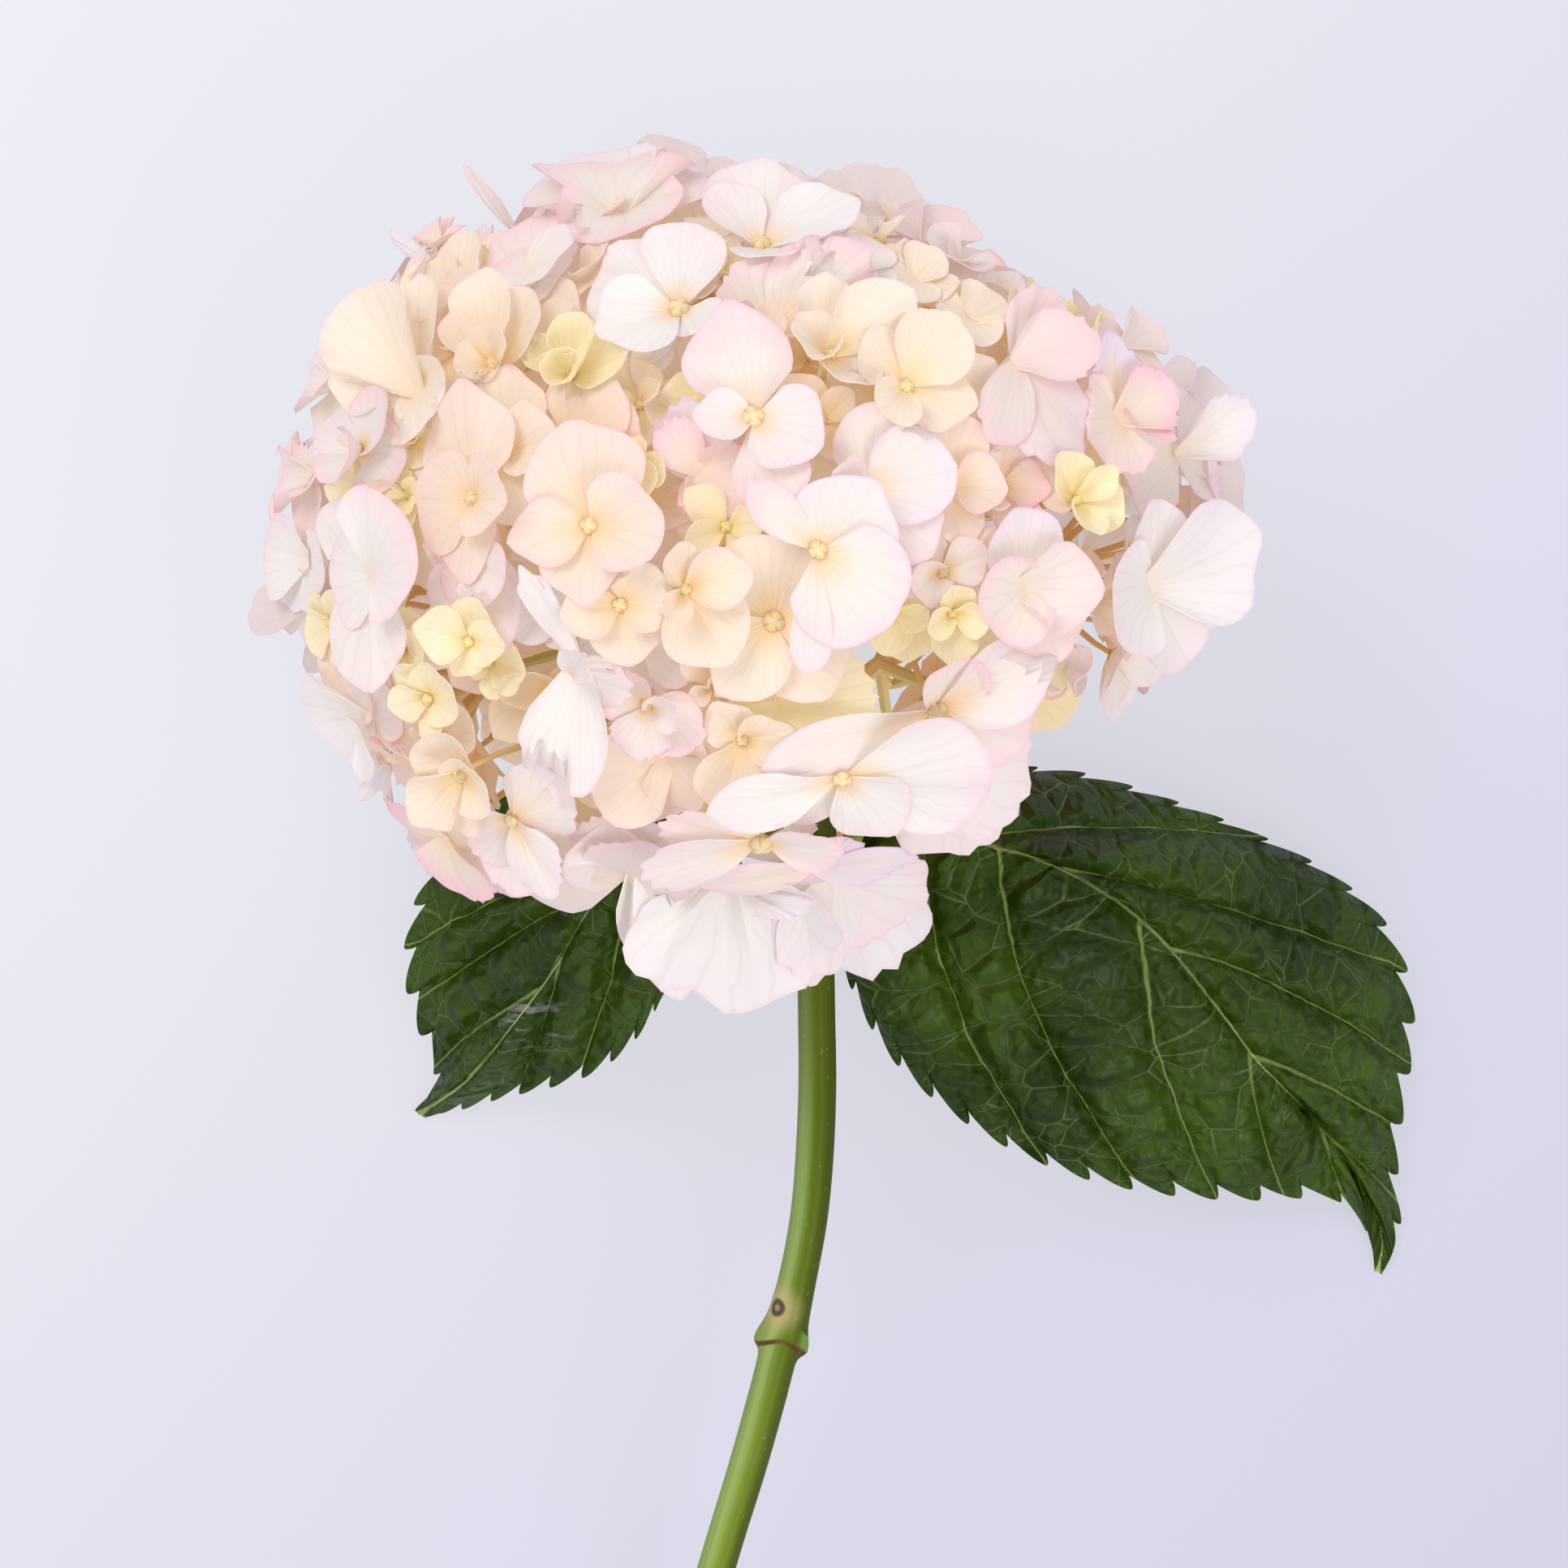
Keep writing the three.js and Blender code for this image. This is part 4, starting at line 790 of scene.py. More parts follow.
     ((36, -22, 1.0), (40, 150, 0.5), (-22, 42, 0.9), (-46, -26, 1.15))),
    (770, 1072, 16.0, 8, 8, "dusty", 0.0, -0.1,
     ((-28, -50, 0.8), (40, -30, 1.0), (12, 26, 0.8), (-112, 26, 0.48))),
    (632, 1008, 14.5, -1, 18, "blush", 0.0, -0.1,
     ((62, -26, 1.0), (54, 82, 0.9), (-4, 92, 0.9), (-46, 30, 1.0))),
    (550, 1035, 14.0, 4, 14, "rose", -0.1, -0.1,
     ((30, -40, 0.9), (32, 65, 0.95), (-20, 42, 1.0), (-58, -14, 1.15))),
    (570, 952, 13.0, -2, 24, "cream", -0.1, -0.1,
     ((-18, -34, 1.3), (33, 8, 1.1), (6, 73, 1.15), (-52, 52, 1.0))),
    (715, 818, 20.0, -1, 8, "white", 0.0, -0.1,
     ((-60, -100, 0.22), (20, -26, 0.6), (60, 16, 0.6), (-16, 148, 0.62))),
    (800, 868, 14.0, 1, 14, "blush", 0.0, -0.1,
     ((-46, -24, 1.0), (38, 6, 1.1), (56, 38, 1.1), (-8, 58, 1.1))),
    (822, 935, 15.0, 3, 14, "peach", 0.0, -0.1,
     ((30, -22, 0.9), (32, 48, 1.0), (-40, 75, 1.0), (-92, 28, 1.0))),
    (877, 845, 10.5, 4, 28, "cream", 0.0, 0.0,
     ((-8, -40, 1.0), (25, -10, 1.0), (2, 92, 0.45), (-30, 22, 1.15))),
    (915, 910, 11.5, 1, 18, "cream", 0.0, -0.1,
     ((-28, -28, 1.1), (52, -14, 1.2), (28, 42, 1.15), (-28, 80, 1.0))),
    (962, 872, 16.0, 6, 14, "young", 0.0, -0.1,
     ((-50, -12, 1.0), (104, -40, 0.8), (98, 16, 0.75), (-30, 60, 1.0))),
    (876, 1066, 14.0, 1, 4, "blush", 0.0, -0.5,
     ((-62, 22, 0.5), (74, 18, 0.55), (12, 34, 0.9), (-8, -20, 0.7))),
    (828, 628, 11.0, 14, 22, "deep", 0.0, 0.0,
     ((-28, -34, 1.0), (30, -20, 1.1), (24, 36, 1.0), (-26, 26, 1.0))),
    (640, 292, 12.0, 7, 55, "lilac", -0.1, 0.1,
     ((-64, -82, 0.24), (-36, -46, 0.3), (26, -22, 0.9), (16, 26, 0.9))),
    (536, 326, 10.0, 9, 40, "lilac", -0.1, 0.1,
     ((-50, -42, 0.26), (-30, 20, 0.8), (26, 24, 0.9), (24, -24, 0.9))),
    (692, 1036, 13.0, 9, 8, "blush", 0.0, -0.1,
     ((-52, 34, 1.0), (52, -14, 1.0), (22, 50, 1.0), (-24, -42, 0.9))),
    (600, 1046, 13.0, 9, 8, "rose", 0.0, -0.1,
     ((-40, 32, 1.0), (46, 16, 1.0), (2, 52, 1.1), (-4, -40, 1.0))),
    (880, 975, 12.0, 5, 18, "young", 0.0, -0.1,
     ((-30, -20, 1.0), (40, -14, 1.0), (48, 30, 1.0), (-20, 34, 1.0))),
    (700, 960, 13.0, 9, 12, "deep", 0.0, -0.1,
     ((-20, -44, 1.0), (44, 0, 1.0), (18, 55, 1.0), (-40, 30, 1.0))),
)
# the warm, blush, young and dull parts of each tint. The dull part is partly a dusky colour and
# partly painted shade on florets that lie further back, most of all in grey.
TINTS = {
    "white": (0.10, 0.30, 0.0, 0.0),
    "lilac": (0.05, 0.55, 0.0, 0.15),
    "blush": (0.30, 0.60, 0.0, 0.0),
    "cream": (0.60, 0.15, 0.15, 0.0),
    "peach": (0.80, 0.30, 0.0, 0.0),
    "rose": (0.65, 0.95, 0.0, 0.0),
    "young": (0.50, 0.00, 0.65, 0.0),
    "dusty": (0.45, 0.65, 0.0, 0.4),
    "grey": (0.15, 0.25, 0.0, 0.7),
    # deep is partly painted shade: the warmest tint, for the golden gaps deep in the head
    "deep": (1.00, 0.10, 0.3, 0.1),
}
print(len(UPPER_FLORETS), "florets face up")

# %% Florets with teeth and florets that turn away
TOOTHED_FLORETS = {
    (1252, 448), (1375, 515), (1385, 425), (1448, 558), (1172, 945), (1000, 1066), (938, 1036),
    (632, 1008), (550, 1035), (770, 1072), (800, 868), (715, 818), (1058, 290), (862, 583),
    (905, 1078), (1026, 1066), (945, 415), (962, 872), (540, 302),
}
# these are half closed or seen from the side, so that their bud is out of sight
CLOSED_FLORETS = {
    (1252, 448), (1375, 515), (1385, 425), (1448, 558), (1412, 718), (1258, 725), (1208, 690),
    (1190, 392), (1128, 345), (1140, 312), (1180, 325), (1058, 290), (850, 238), (765, 262),
    (655, 345), (558, 395), (600, 330), (668, 420), (520, 482), (463, 708), (592, 692),
    (410, 475), (385, 590), (385, 690), (395, 735), (450, 840), (455, 885), (515, 935),
    (480, 945), (540, 302), (640, 292), (536, 326), (905, 1078), (1026, 1066), (1000, 1066),
    (876, 1066), (790, 1045), (770, 1072), (550, 1035), (1172, 945), (715, 818), (822, 935),
    (962, 872), (862, 583), (712, 545), (720, 350), (740, 300), (1303, 825), (1110, 755),
    (692, 1036), (600, 1046),
}
print(len(TOOTHED_FLORETS), "have small teeth,", len(CLOSED_FLORETS), "hide their bud")


# %% Setting florets on the ball
TIP_HEIGHTS = np.linspace(-26, 26, 209)  # mm over the bud
LENGTH_MISFIT = 0.25  # of the floret's size
CLIMB_MISFIT = 0.35  # radians


def ball_normals(points):
    """Directions straight out of the ball of florets at the given points."""
    return unit((points - HEAD_MIDDLE) / HEAD_HALF**2)


def floret_axes(normal):
    """Right, up and facing directions of florets whose faces look along the normals."""
    right = unit(np.array([1.0, 0, 0]) - normal * normal[..., :1])
    return np.stack([right, np.cross(normal, right), normal], -2)


def tip_height(offset, normal, size, opening):
    """Height of a sepal's tip over its bud. Of the heights tried, the one with the least sum of
    two squared misfits: of the sepal's length against the floret's, and of its climb against
    the floret's opening."""
    level = np.broadcast_to(offset, (len(TIP_HEIGHTS), 2))
    tips = np.concatenate([level, TIP_HEIGHTS[:, None]], -1)
    lengths = np.linalg.norm(tips, axis=-1)
    climbs = np.arcsin(np.clip(tips @ normal / lengths, -1, 1))
    misfit = ((lengths / size - 1) / LENGTH_MISFIT) ** 2 + ((climbs - opening) / CLIMB_MISFIT) ** 2
    return tips[misfit.argmin()]


def batch(rows):
    """Turns a list of dictionaries with the same keys into one dictionary of arrays."""
    return {key: np.array([row[key] for row in rows]) for key in rows[0]}


print("facing of a floret on top of the ball:", ball_normals(HEAD_MIDDLE + [0, 0, 60.0]))

# %% Building the florets that face up
FACING = 0.12  # how much the florets of the list turn up, towards the light and the camera
SEPAL_GROWTH = 1.09  # a sepal's middle reaches a little past the tip that was read
OUTERMOST = 0.02  # least squared height on the ball, for places beyond its outline
CLOSED_SHIFT = 0.13  # of their size, by which closed florets' sepals start behind the middle
CLOSED_LAYER = 0.4  # of the usual layer, for two of a closed floret's sepals


def upper_florets():
    """Sepals and florets of the list, as batches of arrays."""
    rng = np.random.default_rng(11)
    sepals, florets = [], []
    for x, y, size, depth, opening, tint, lean_right, lean_up, tips in UPPER_FLORETS:
        offset = np.array([x - HEAD_PIXEL[0], HEAD_PIXEL[1] - y]) * MM_PER_PIXEL
        across, along = offset / HEAD_HALF[:2]
        ball_top = HEAD_HALF[2] * math.sqrt(max(OUTERMOST, 1 - across**2 - along**2))
        eye = seen(x, y, HEAD_HEIGHT + ball_top - depth)
        normal = unit(ball_normals(eye) + np.array([lean_right, lean_up, FACING]))
        warm, blush, young, dull_and_shade = np.array(TINTS[tint]) * rng.uniform(0.85, 1.15, 4)
        toothed = (x, y) in TOOTHED_FLORETS
        front = float((x, y) not in CLOSED_FLORETS)
        shared = rng.random(2)
        floret = {"eye": eye, "normal": normal, "size": size, "young": young, "front": front}
        florets.append(floret)
        for k, (right, down, width) in enumerate(tips):
            opened = math.radians(opening)
            tip = tip_height(np.array([right, -down]) * MM_PER_PIXEL, normal, size, opened)
            length = np.linalg.norm(tip)
            climb = math.asin(np.clip(tip @ normal / length, -0.95, 0.95))
            outward = unit(tip - normal * (tip @ normal))
            bend = math.radians(-14 + 0.7 * opening) + rng.uniform(-0.15, 0.15)
            layer = (1 if k % 2 else -1) * (1 if front or k < 2 else CLOSED_LAYER)
            behind = 0 if front else CLOSED_SHIFT * size
            draws = rng.random(10)
            draws[[7, 9]] = shared * 0.8 + 0.1 + 0.1 * layer
            sepals.append({
                "eye": eye - outward * behind,
                "axes": np.stack([outward, np.cross(normal, outward), normal]),
                "length": length * SEPAL_GROWTH + behind,
                "low": climb - bend / 2,
                "high": climb + bend / 2,
                "width": width * rng.uniform(0.98, 1.10),
                "layer": layer,
                "teeth": float(toothed),
                "draws": draws,
                "warm": warm, "blush": blush * rng.uniform(0.6, 1.3),
                "young": young, "dull_and_shade": dull_and_shade, "draw": rng.random(), "front": front,
            })
    return batch(sepals), batch(florets)


upper_sepals, upper = upper_florets()
print(len(upper_sepals["eye"]), "sepals; longest", round(upper_sepals["length"].max(), 1), "mm")

# %% [markdown]
# The rest of the ball
#
# The camera never sees the far side, but the flower can be picked up. There an even spread of
# points, each turned by the golden angle from the last, gives places for florets with no rows
# or gaps. Places drawn at random would be quicker to write, but they clump. A second, smaller
# ball of florets inside fills what shows between the outer ones, and four florets under the
# head are pressed flat, for the flower to rest on.


# %% Places round the ball
def golden_directions(count):
    """An even spread of directions: equal steps from pole to pole, turned by the golden angle."""
    height = 1 - 2 * (np.arange(count) + 0.5) / count
    ring = np.sqrt(1 - height**2)
    turn = np.arange(count) * np.pi * (3 - np.sqrt(5))
    return np.stack([ring * np.cos(turn), height, ring * np.sin(turn)], -1)


def apart_from(points, others, distance):
    """True for each point that is at least the distance from all the others."""
    gaps = np.linalg.norm(points[:, None] - others[None], axis=-1)
    return gaps.min(-1) >= distance


print("first of four even directions:", golden_directions(4)[0].round(2))

# %% The outline of the head
# its corners in the picture, in pixels, clockwise from the top
HEAD_OUTLINE = (
    (930, 195), (1060, 195), (1175, 260), (1210, 300), (1300, 352), (1420, 400), (1535, 500),
    (1550, 650), (1515, 760), (1440, 828), (1330, 800), (1262, 950), (1140, 1150), (1060, 1220),
    (925, 1235), (850, 1195), (780, 1100), (690, 1115), (590, 1105), (497, 1015), (395, 880),
    (317, 750), (340, 560), (375, 450), (412, 400), (500, 280), (600, 235), (690, 187),
    (805, 168),
)


def inside_outline(points, inset):
    """Points pulled in, level with the table, to lie within the picture's outline of the head by
    the inset. The outline's radius about the middle is read at each point's own angle."""
    outline = seen(*np.array(HEAD_OUTLINE, float).T, HEAD_HEIGHT)[:, :2] - HEAD_MIDDLE[:2]
    angles = np.arctan2(outline[:, 1], outline[:, 0])
    order = angles.argsort()
    radii = np.linalg.norm(outline, axis=1)[order]
    offset = points[:, :2] - HEAD_MIDDLE[:2]
    own = np.arctan2(offset[:, 1], offset[:, 0])
    limit = np.interp(own, angles[order], radii, period=2 * np.pi) - inset
    share = np.minimum(1, limit / np.maximum(np.linalg.norm(offset, axis=1), 1e-6))
    level = HEAD_MIDDLE[:2] + offset * share[:, None]
    return np.concatenate([level, points[:, 2:]], 1)


print("the outline has", len(HEAD_OUTLINE), "corners")

# %% Gaps in the head
# see-through places in the picture: pixel x, pixel y and the millimetres kept clear round it
GAPS = ((1105, 828, 12.0), (588, 905, 5.0), (1345, 665, 11.0))


def beside_gaps(places):
    """True for each place that lies neither over nor under a gap."""
    x, y, clear = np.array(GAPS).T
    away = np.linalg.norm(places[:, None, :2] - seen(x, y, HEAD_HEIGHT)[:, :2], axis=-1)
    return (away > clear).all(-1)


print(len(GAPS), "gaps are kept clear")


# %% Florets spread over the ball
def spread_florets(directions, reach, sizes, openings, tints, seed, inset=0.0):
    """Florets of four nearly equal sepals in the given directions, at a share reach of the ball,
    leaning a little at random and pulled inside the outline by the inset. Each floret draws its
    size, opening and tint, and six in ten show their bud. Returned as batches of arrays."""
    rng = np.random.default_rng(seed)
    count = len(directions)
    eye = HEAD_MIDDLE + directions * HEAD_HALF * (reach * rng.uniform(0.95, 1.02, (count, 1)))
    if inset:
        eye = inside_outline(eye, inset)
    normal = unit(ball_normals(eye) + rng.normal(0, 0.16, (count, 3)))
    size = rng.uniform(*sizes, count)
    opening = np.radians(rng.uniform(*openings, count))
    names = rng.choice(list(tints), count)
    tint = np.array([TINTS[name] for name in names]) * rng.uniform(0.8, 1.2, (count, 4))
    axes = floret_axes(normal)
    turn = rng.uniform(0, 2 * np.pi, count)[:, None] + np.arange(4) * np.pi / 2
    turn = turn + rng.uniform(-0.15, 0.15, turn.shape)
    right, up = axes[:, None, 0], axes[:, None, 1]
    outward = right * np.cos(turn)[..., None] + up * np.sin(turn)[..., None]
    facing = np.broadcast_to(normal[:, None], outward.shape)
    climb = opening[:, None] + rng.uniform(-0.12, 0.12, turn.shape)
    bend = np.radians(-14) + 0.7 * opening[:, None]
    draws = rng.random((count, 4, 10))
    draws[..., [7, 9]] = draws[:, :1, [7, 9]] * 0.8 + 0.1
    draws[:, 1::2, 7] += 0.1
    draws = draws.reshape(-1, 10)
    sepals = {
        "eye": np.repeat(eye, 4, 0),
        "axes": np.stack([outward, np.cross(facing, outward), facing], -2).reshape(-1, 3, 3),
        "length": (size[:, None] * rng.uniform(0.88, 1.08, turn.shape)).ravel(),
        "low": (climb - bend / 2).ravel(),
        "high": (climb + bend / 2).ravel(),
        "width": rng.uniform(0.95, 1.2, 4 * count),
        "layer": np.tile([-1.0, 1.0], 2 * count),
        "teeth": np.repeat((rng.random(count) < 0.2).astype(float), 4),
        "draws": draws,
        "draw": rng.random(4 * count),
    }
    for k, key in enumerate(("warm", "blush", "young", "dull_and_shade")):
        sepals[key] = np.repeat(tint[:, k], 4)
    front = (rng.random(count) < 0.6).astype(float)
    sepals["front"] = np.repeat(front, 4)
    florets = {"eye": eye, "normal": normal, "size": size, "young": tint[:, 2], "front": front}
    return sepals, florets


print("a spread floret has four sepals, at quarter turns with small errors")

# %% The batches of florets
LEAVES_SIDE = -0.42  # no floret hangs further down the stem than this share of the ball
directions = golden_directions(150)
places = HEAD_MIDDLE + directions * HEAD_HALF
below = (directions[:, 2] < 0.22) & (directions[:, 2] > -0.86) & (directions[:, 1] > LEAVES_SIDE)
below &= apart_from(places, upper["eye"], 11.0)
lower_tints = ("white", "blush", "cream", "lilac", "lilac", "dusty", "grey")
lower_sepals, lower = spread_florets(
    directions[below], 1.0, (12.5, 17.5), (8, 26), lower_tints, 21, inset=13.5)
print(len(lower["eye"]), "lower florets")

between_directions = golden_directions(240)
between_places = HEAD_MIDDLE + between_directions * HEAD_HALF
between = (between_directions[:, 2] >= 0.1) & (between_directions[:, 1] > LEAVES_SIDE)
between &= apart_from(between_places, upper["eye"], 7.5) & beside_gaps(between_places)
between_tints = ("cream", "peach", "peach", "blush", "white", "young")
between_sepals, between_florets = spread_florets(
    between_directions[between], 0.91, (10.5, 14.5), (14, 42), between_tints, 24, inset=12.0)

inner_directions = golden_directions(150)
clear = beside_gaps(HEAD_MIDDLE + inner_directions * HEAD_HALF * 0.83)
inner_directions = inner_directions[clear & (inner_directions[:, 1] > -0.6)]
inner_tints = ("deep", "peach", "cream")
inner_sepals, inner = spread_florets(
    inner_directions, 0.83, (11, 16), (12, 40), inner_tints, 22, inset=20.0)
print(len(between_florets["eye"]), "between and", len(inner["eye"]), "inner florets")

# %% The florets that the head rests on
RESTING_PLACES = np.array([[0, 38], [-33, 8], [34, 6], [2, -22]])  # mm from the head's middle
RESTING_HEIGHT = 0.6  # mm
straight_down = np.repeat([[0.0, 0.0, -1.0]], len(RESTING_PLACES), 0)
resting_sepals, resting = spread_florets(
    straight_down, 1.0, (15.5, 15.5), (0, 0), ("white", "blush"), 23)
heights = np.full(len(RESTING_PLACES), RESTING_HEIGHT)
rest = np.c_[HEAD_MIDDLE[:2] + RESTING_PLACES, heights]
resting["eye"] = rest
resting_sepals["eye"] = np.repeat(rest, 4, 0)
print(len(rest), "resting florets")

# %% [markdown]
# Petal finish
#
# A sepal is white, with a cream heart round the bud, fine veins that run out from its foot and a
# pink margin. Photographs of petals could be laid on, but they would repeat. The colours are
# mixed instead from each point's share of the reach along its own sepal, so they follow its
# shape. A sepal whose bud is out of sight has no cream heart. Light shines through thin petals,
# so a share of a Translucent shader lets it through, and a faint painted glow stands for the
# light that has bounced between many of them. Deep inside the head the colour turns a darker
# gold, as painted shade: there the tint grows as the distance from the head's middle, measured
# in half sizes of the ball, falls.


# %% Colours along a sepal
def sepal_colours(graph, veins, cloud):
    """The sepal's colour out of its bands: heart, blade, margin, rim, veins and foot. Returned
    with the pink of its margin."""
    reach, warm, blush, young, dull_and_shade, draw, front = (
        graph.attribute(name)
        for name in ("reach", "warm", "blush", "young", "dull_and_shade", "draw", "front"))
    heart = graph.mix(young, colour(244, 222, 184), colour(238, 228, 160))
    blade = graph.mix(warm, colour(235, 234, 235), colour(238, 223, 207))
    blade = graph.mix(young, blade, colour(242, 235, 198))
    body = graph.mix(graph.fade(reach, -0.05, warm * 0.35 + 0.4), heart, blade)
    body = graph.mix(0.75 - front * 0.75, body, blade)
    margin = graph.fade(reach + cloud * 0.35, 0.75, 1.25) * blush
    pink = graph.mix(graph.fade(draw, 0.5, 0.9), colour(242, 213, 222), colour(230, 223, 238))
    body = graph.mix(margin, body, pink)
    rim = graph.fade(reach, 0.955, 1.0) * (blush * 0.4 + 0.08)
    body = graph.mix(rim, body, colour(232, 184, 206))
    streaks = veins * (1 - graph.fade(reach, 0.08, 0.42)) * (front * 0.7 + 0.3)
    body = graph.mix(streaks * 0.4, body, colour(214, 164, 118))
    outer_veins = veins * graph.fade(reach, 0.2, 0.5)
    body = graph.mix(outer_veins * 0.11, body, colour(206, 182, 176))
    # greyer where dull: partly a dusky colour, partly painted shade on florets further back
    body = graph.mix(dull_and_shade, body, colour(222, 210, 212))
    foot = (1 - graph.fade(reach, 0.0, 0.13)) * front
    return graph.mix(foot * 0.4, body, colour(226, 184, 120)), pink


def share_of_ball(graph, place):
    """Distance from the head's middle, as a share of the ball's half size in that direction."""
    offset = graph.node("ShaderNodeVectorMath", {"operation": "SUBTRACT"}, {
        0: place, 1: (HEAD_MIDDLE * METRES).tolist(),
    })
    offset = graph.node("ShaderNodeVectorMath", {"operation": "DIVIDE"}, {
        0: offset, 1: (HEAD_HALF * METRES).tolist(),
    })
    return graph.node("ShaderNodeVectorMath", {"operation": "LENGTH"}, {0: offset}, 1)


print("a sepal's colour is mixed from seven numbers and the veins")


# %% Petal material
def petal_material():
    """The sepal's colours with soft patches and painted golden shade deep in the head, on a
    surface that lets two fifths of the light through and glows faintly with painted light. A count
    runs across the sepal, with clouds that make it wander, and a vein runs wherever it is halfway
    between two whole numbers."""
    graph = Graph("petal")
    place = graph.place()
    reach = graph.attribute("reach")
    wander = graph.noise(place, 120.0, 1.0) * 1.2
    lines = ((graph.attribute("across") * 5.0 + wander).fraction() - 0.5).absolute()
    veins = 1 - graph.fade(lines, 0.0, 0.14)
    body, pink = sepal_colours(graph, veins, graph.noise(place, 70.0, 1.0))
    # painted shade: deep inside the head the colour turns a darker gold
    depth = 1 - graph.fade(share_of_ball(graph, place), 0.70, 0.92)
    body = graph.mix(depth * 0.62, body, colour(232, 190, 116))
    patches = graph.fade(graph.noise(place, 55.0, 1.0), 0.5, 0.75)
    body = graph.mix(patches * graph.attribute("blush") * 0.4, body, pink)
    crinkle = graph.noise(place, 420.0, 1.0)
    height = veins * (1 - graph.fade(reach, 0.6, 1.0)) * -0.3 + crinkle * 0.5
    normal = graph.bump(height, 0.2, 0.0005)
    # painted light: a faint warm glow for the light bounced between many petals
    glow = graph.mix(0.20, body, colour(255, 224, 176))
    surface = graph.node("ShaderNodeBsdfPrincipled", {}, {
        "Base Color": body, "Roughness": 0.55, "Specular IOR Level": 0.3, "Normal": normal,
        "Emission Color": glow, "Emission Strength": 0.20,
    })
    shade = graph.mix(0.10, body, colour(255, 226, 184))
    through = graph.node("ShaderNodeBsdfTranslucent", {}, {"Color": shade, "Normal": normal})
    both = graph.node("ShaderNodeMixShader", {}, {0: 0.4, 1: surface, 2: through})
    return graph.finish(both)


petal = petal_material()
print("petal finish:", len(petal.node_tree.nodes), "nodes")


# %% Petal pieces
def petal_pieces(names, sepals, rows, columns, order=(), ceiling=None):
    """Makes the sepals' shells, shares them out evenly to the named pieces, and returns how far
    each bud went down."""
    shells, values, sunk = sepal_shells(sepals, rows, columns, order, ceiling)
    values = {key: v.reshape(len(shells), -1) for key, v in values.items()}
    for name, part in zip(names, np.array_split(np.arange(len(shells)), len(names))):
        faces = shell_faces(rows, columns, len(part))
        part_values = {key: v[part].ravel() for key, v in values.items()}
        points = shells[part].reshape(-1, 3)
        make_piece(name, points, faces, petal, part_values, "flower_head")
    return sunk


# %% The florets of the picture, tucked under each other
ceiling = Ceiling()
in_front = np.array([row[3] for row in UPPER_FLORETS]).argsort(kind="stable")
upper_names = ("florets_upper_one", "florets_upper_two")
upper["eye"][:, 2] -= petal_pieces(upper_names, upper_sepals, 7, 26, in_front, ceiling)
deeper_order = range(len(between_florets["eye"]))
between_florets["eye"][:, 2] -= petal_pieces(
    ("florets_between",), between_sepals, 5, 12, deeper_order, ceiling)

# %% The florets below, inside and under the head
petal_pieces(("florets_lower",), lower_sepals, 6, 12)
petal_pieces(("florets_inner",), inner_sepals, 4, 8)
petal_pieces(("florets_resting",), resting_sepals, 8, 12)

# %% [markdown]
# Buds and stalks
#
# In the middle of each floret sits a bud of four closed lobes, about 3 mm across. It could be
# left to the shader, but it stands out and catches the light, so it is a small lobed ball. The
# florets stand on thin stalks that fork from a few rays at the top of the stem. Stalks aren't
# laid out by hand: each floret's stalk runs to the nearest fork, and each fork to the nearest ray.

# %% Buds
BUD_RADIUS = 1.7  # mm
BUD_LIFT = 0.9  # mm that a bud's middle lies over the floret's
BUD_SIDES = 16
BUD_RINGS = 7


def bud_points(eye, normal, size, turn):
    """Flattened balls with four lobes: the radius swells with the cosine of four times the
    angle, and the seams between lobes run together at the top."""
    angle = np.linspace(0, 2 * np.pi, BUD_SIDES, endpoint=False)
    height = np.linspace(0, np.pi, BUD_RINGS + 2)[1:-1, None]
    lobes = 1 + 0.06 * np.cos(4 * angle) * np.sin(height)
    radius = BUD_RADIUS * size[:, None, None] * lobes
    right, up, facing = (floret_axes(normal)[:, k][:, None, None] for k in range(3))
    turned = (angle + turn[:, None, None])[..., None]
    ring = right * np.cos(turned) + up * np.sin(turned)
    out = (radius * np.sin(height))[..., None] * ring
    seams = 1 - 0.12 * (1 - np.cos(4 * angle)) * np.sin(height)
    rise = radius * 0.8 * np.cos(height) * seams
    middle = (eye + normal * BUD_LIFT)[:, None, None]
    lobe = np.broadcast_to(np.cos(4 * angle), radius.shape)
    level = np.broadcast_to(np.cos(height), radius.shape)
    return middle + out + rise[..., None] * facing, lobe, level


print("a bud has", BUD_SIDES * BUD_RINGS, "points")


# %% Bud material
def bud_material():
    """Pale yellow, darker along the seams between lobes and round its lower half, partly as
    painted shade under the bud and partly as its own darker foot.
    """
    graph = Graph("bud")
    lobe = graph.attribute("lobe")
    young = graph.attribute("young")
    body = graph.mix(young, colour(230, 206, 158), colour(222, 214, 136))
    seam = 1 - graph.fade(lobe, -0.98, -0.4)
    body = graph.mix(seam * 0.7, body, colour(190, 150, 92))
    # painted shade round the lower half of the bud, with its own darker foot
    underside_and_shade = 1 - graph.fade(graph.attribute("rise"), -0.2, 0.35)
    body = graph.mix(underside_and_shade * 0.7, body, colour(208, 160, 96))
    speckle = graph.noise(graph.place(), 900.0)
    body = graph.mix(speckle * 0.2, body, colour(255, 244, 200))
    surface = graph.node("ShaderNodeBsdfPrincipled", {}, {
        "Base Color": body, "Roughness": 0.45, "Specular IOR Level": 0.35,
        "Normal": graph.bump(speckle, 0.3, 0.0003),
    })
    return graph.finish(surface)


bud_finish = bud_material()
print("bud finish:", len(bud_finish.node_tree.nodes), "nodes")


# %% A bud on each open floret
def join(*batches):
    """Joins batches of florets into one."""
    return {key: np.concatenate([b[key] for b in batches]) for key in batches[0]}


